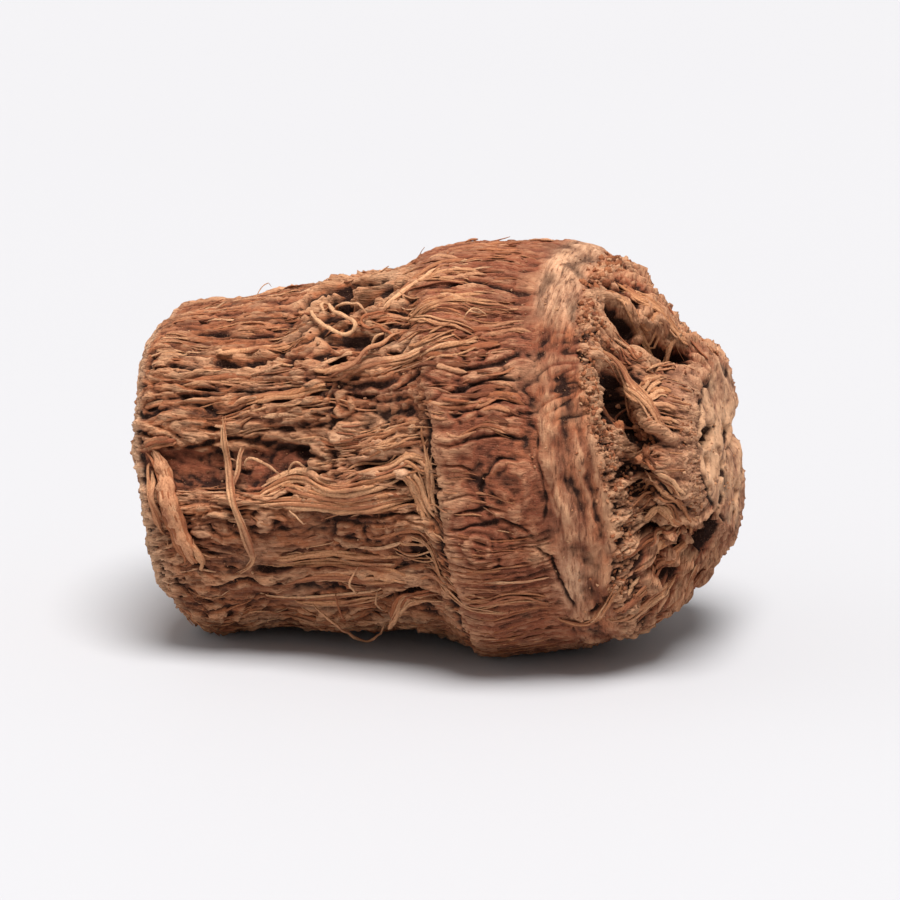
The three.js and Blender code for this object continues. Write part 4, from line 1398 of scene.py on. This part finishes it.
# crumbs of the dark band, in the hollows behind it, at the crown's rim and round the back
band_crumbs = Strands()
for route, count, spread, size, tone in [
    ([(16.9, 62), (17.3, 54), (18.2, 42), (19.0, 31), (20.1, 20), (21.1, 8), (21.8, -6), (22.0, -20),
        (21.2, -34)], 560, 0.5, (0.09, 0.3), 0.6),
    ([(18.0, 58), (18.8, 52), (19.6, 46)], 60, 0.6, (0.1, 0.36), 0.5),
    ([(20.8, 28), (22.4, 24), (23.8, 19), (23.4, 14)], 30, 0.4, (0.2, 0.6), 0.5),
    ([(27.4, 26), (27.8, 10), (27.8, -6), (27.8, -20)], 130, 0.6, (0.07, 0.2), 0.7),
    ([(16.6, 70), (17.0, 110), (17.6, 150), (18.8, 190), (20.2, 230), (21.2, 280)], 300, 0.7, (0.16, 0.5),
        0.4),
]:
    crumbs(band_crumbs, route, count, spread, size, 500 + count, tone)
specks, face_crumbs = Strands(), Strands()
end_crumbs(face_crumbs, True, 80, (0.1, 0.75), (0.06, 0.16), 521, 0.7)
end_crumbs(face_crumbs, False, 260, (0.5, 1.0), (0.1, 0.3), 522, 0.6)
dust(specks, 700, (-27.5, 18), (-70, 106), (0.05, 0.17), 531)
dust(specks, 300, (18, 28), (-70, 106), (0.06, 0.2), 532)

# -------- rootlets
# a flat strap across the front near the cut end, as one wide ribbon under 16 fibres
strap = [
    (-25.0, 15.5, 0.2), (-24.0, 9, 0.35), (-22.9, 0, 0.35), (-21.8, -10, 0.3), (-20.9, -18, 0.25),
    (-20.9, -23, 0.0),
]
bundle(bark_fibres, strap, 1, 0, (0.95, 0.95), (1, 1), 0.42, 601, 0.3, 0, 30, 0.2, 0, 0.5)
bundle(bark_fibres, strap, 16, 0.55, (0.16, 0.4), (0.5, 1.0), 0.46, 602, 0.45, 0.16, 26, 0.3, 0.14)

# short rootlets beside it: route, spread, part, tone, seed, lift, heap and points
for route, spread, part, tone, seed, lift, heap, points in [
    ([(-25.6, 13, 0.1), (-25.0, 4, 0.3), (-24.2, -5, 0.3), (-23.6, -14, 0.2)],
        0.2, (0.6, 1.0), 0.7, 608, 0.2, 0.1, 20),
    ([(-25.6, 15, 0.2), (-24.4, 17.5, 0.4), (-22.6, 18.5, 0.1)], 0.3, (0.7, 1.0), 0.5, 606, 0.3, 0.2, 16),
    ([(-21.3, -14, 0.3), (-20.4, -18, 0.5), (-19.8, -22, 0.4), (-20.6, -25, 0.0)],
        0.25, (0.7, 1.0), 0.6, 607, 0.3, 0.2, 16),
]:
    bundle(rootlets, route, 5, spread, (0.14, 0.3), part, tone, seed, lift, heap, points)

# a forked stem
fork = [
    (-17.9, 27, 0.1), (-17.4, 19, 0.7), (-17.0, 11, 0.7), (-16.2, 2, 0.45), (-15.3, -7, 0.4),
    (-14.6, -17, 0.4), (-15.0, -23, 0.3), (-16.6, -27, 0.0),
]
branch = [(-15.7, 16.5, 0.5), (-15.8, 12, 0.8), (-15.9, 7, 0.7), (-16.4, 2, 0.45)]
bundle(rootlets, fork, 7, 0.15, (0.11, 0.2), (0.85, 1.0), 0.72, 603, 0.35, 0.3, 34, 0.4, 0.1, 0.8)
bundle(rootlets, branch, 4, 0.1, (0.1, 0.17), (0.9, 1.0), 0.8, 604, 0.25, 0.2, 20, 0.3, 0.04, 0.8)

# single rootlets that stand free: route, half width and tone
for route, half, tone in [
    ([(-11.4, 67, 0.1), (-10.6, 61, 0.4), (-9.5, 55.5, 0.5), (-8.2, 51.5, 0.5), (-6.9, 48.3, 0.5),
        (-5.7, 47.5, 0.5), (-4.7, 48.6, 0.5), (-5.0, 50.8, 0.5), (-6.0, 52.2, 0.6), (-7.2, 55, 0.9),
        (-8.4, 60, 1.1), (-9.3, 67, 0.7)], 0.18, 0.85),
    ([(-8.4, 62, 0.9), (-9.6, 67, 0.8), (-10.7, 71, 0.5), (-10.6, 74, 0.5), (-9.8, 74.5, 0.5),
        (-8.8, 68, 0.6), (-7.8, 63, 0.9), (-6.2, 60, 0.8), (-5.2, 57, 0.6), (-4.3, 54, 0.5),
        (-3.8, 52.5, 0.2)], 0.16, 0.85),
    ([(-2.1, 54.5, 0.1), (-3.2, 53.5, 0.4), (-4.0, 52.5, 0.5), (-4.5, 50.2, 0.5), (-3.4, 47.8, 0.4),
        (-2.6, 48.6, 0.4), (-1.6, 46.4, 0.3), (-0.8, 44.4, 0.1)], 0.14, 0.8),
    ([(-2.0, 47.1, 0.3), (-2.7, 45.9, 0.4), (-3.4, 44, 0.2)], 0.13, 0.75),
    ([(18.6, 42, 0.2), (19.6, 42, 0.5), (20.5, 39, 0.7), (21.6, 31, 0.3)], 0.08, 0.8),
    ([(-7.9, 37, 0.2), (-5.7, 36.4, 0.4), (-4.1, 38, 0.4), (-3.4, 41, 0.4), (-2.0, 43, 0.3),
        (-0.6, 47, 0.2)], 0.2, 0.6),
    ([(-11.1, 7.5, 0.2), (-10.5, 9.8, 0.8), (-9.8, 10.3, 0.9), (-9.2, 8.6, 0.3)], 0.1, 0.95),
    ([(-15.6, 9.5, 0.2), (-14.7, 12.2, 0.9), (-12.8, 10, 1.0), (-11.8, 7, 0.3)], 0.12, 0.8),
    ([(-18.6, 84, 0.1), (-18.0, 88, 0.9), (-17.2, 90, 1.3)], 0.05, 0.8),
    ([(-4.1, -26, 0.1), (-4.5, -28, 0.7), (-4.8, -31, 0.8), (-4.6, -36.5, 0.2)], 0.1, 0.95),
    ([(-2.5, -35, 0.1), (-2.7, -38, 0.6), (-2.7, -42.5, 0.6), (-2.3, -47, 0.1)], 0.08, 0.9),
    ([(-10.2, -43, 0.2), (-8.1, -46, 0.9), (-6.9, -51, 1.1), (-5.9, -61, 1.0), (-4.5, -62, 0.9),
        (-3.0, -56, 0.3)], 0.13, 0.95),
    ([(-7.0, -37, 0.2), (-6.8, -43, 0.7), (-6.6, -49, 0.8)], 0.08, 0.9),
    ([(8.0, 50, 0.0), (6.6, 50, 0.5), (6.0, 47, 0.3)], 0.06, 0.9),
    ([(-10.6, -4, 0.1), (-9.6, -6, 0.6), (-8.9, -9, 0.5)], 0.07, 1.0),
    ([(-18.0, 12, 0.3), (-17.2, 12.6, 0.5), (-16.6, 12, 0.2)], 0.08, 1.0),
    ([(23.4, 9, 0.2), (24.4, 8, 0.7), (24.6, 5, 0.4)], 0.08, 0.95),
]:
    bundle(rootlets, route, 1, 0, (half, half), (1, 1), tone, 700, 0.35, 0, 44, 0.5, 0, 0.9)

# a shred of bast fibre that hangs below the collar
shred = [
    (4.6, -34, 0.1), (3.4, -35, 0.6), (2.0, -36, 0.9), (0.3, -39, 1.1), (-1.3, -46, 1.4), (-2.0, -51, 1.6),
]
bundle(rootlets, shred, 9, 0.3, (0.12, 0.26), (0.6, 1.0), 0.7, 605, 0.2, 0.3, 24, 0.3, 0.15, 0.6)

# fibres in the crevice and the hollows behind it, given a dark tone as painted shade
for route, count, spread, half, tone in [
    ([(18.6, 62), (20.2, 61), (21.6, 59), (23.0, 67), (24.8, 77)], 9, 0.6, (0.1, 0.24), 0.05),
    ([(19.0, 54), (20.6, 54), (22.0, 50), (23.2, 56)], 7, 0.6, (0.1, 0.24), 0.12),
    ([(19.2, 38), (20.0, 33), (21.0, 29), (22.4, 25)], 8, 0.5, (0.1, 0.26), 0.1),
    ([(22.2, 12), (23.6, 14), (25.0, 9)], 6, 0.5, (0.1, 0.24), 0.15),
]:
    bundle(bark_fibres, route, count, spread, half, (0.5, 1.0), tone, 800, lift=0.05)

for strands, name, material in [
    (bark_fibres, "bark_fibres", fibres),
    (back_fibres, "back_fibres", fibres),
    (fine_fibres, "fine_fibres", pale_fibres),
    (crown_folds, "crown_folds", pale_fibres),
    (band_crumbs, "crumbs", crumb_skin),
    (specks, "specks", crumb_skin),
    (face_crumbs, "end_crumbs", pale_fibres),
    (raised_fibres, "raised_fibres", pale_fibres),
    (rootlets, "rootlets", rootlet_skin),
]:
    strands.build(name, material)

# -------- floor, light and camera
PICTURE_MIDDLE = Vector((0.00097, 0.0, 0.0188))
CAMERA_LIFT, CAMERA_DISTANCE = 14, 0.420  # degrees and metres
SENSOR, LENS = 36, 168
WORLD_LIGHT = 0.39


def paper():
    s = Shader("paper")
    mottle = s.noise(s.object_place(), 3.0, 2)
    colour = s.mix(mottle, srgb(188, 187, 189), srgb(191, 190, 192))
    return s.finish(colour, 0.6, s.bump(mottle, 0.02, 0.0005), 0.2)


bpy.ops.mesh.primitive_plane_add(size=6, location=(0, 0, 0))
floor = bpy.context.object
floor.name = "floor"
floor.data.materials.append(paper())

world = bpy.data.worlds.new("studio")
bpy.context.scene.world = world
world.use_nodes = True
background = world.node_tree.nodes["Background"]
background.inputs[0].default_value = (1.0, 1.0, 1.0, 1)
background.inputs[1].default_value = WORLD_LIGHT


def way_to(azimuth, elevation):
    """The way to a place in the sky, at degrees from the front toward +X and degrees over the floor."""
    turn, lift = math.radians(azimuth), math.radians(elevation)
    return Vector((math.sin(turn) * math.cos(lift), -math.cos(turn) * math.cos(lift), math.sin(lift)))


def soft_sun(name, azimuth, elevation, strength, spread):
    """A wide soft light from far away, as from a big diffuser. spread is its width in degrees."""
    data = bpy.data.lights.new(name, "SUN")
    data.energy, data.angle = strength, math.radians(spread)
    obj = bpy.data.objects.new(name, data)
    obj.rotation_euler = way_to(azimuth, elevation).to_track_quat("Z", "Y").to_euler()
    bpy.context.scene.collection.objects.link(obj)


soft_sun("overhead", 30, 73, 4.7, 34)
soft_sun("fill", -84, 20, 0.45, 50)

way = way_to(VIEW_ANGLE, CAMERA_LIFT)
camera = bpy.data.objects.new("camera", bpy.data.cameras.new("camera"))
camera.data.sensor_width, camera.data.lens = SENSOR, LENS
camera.data.clip_start, camera.data.clip_end = 0.01, 20
camera.location = PICTURE_MIDDLE + way * CAMERA_DISTANCE
camera.rotation_euler = (-way).to_track_quat("-Z", "Y").to_euler()
bpy.context.scene.collection.objects.link(camera)
bpy.context.scene.camera = camera
bpy.context.scene.view_settings.view_transform = "Standard"
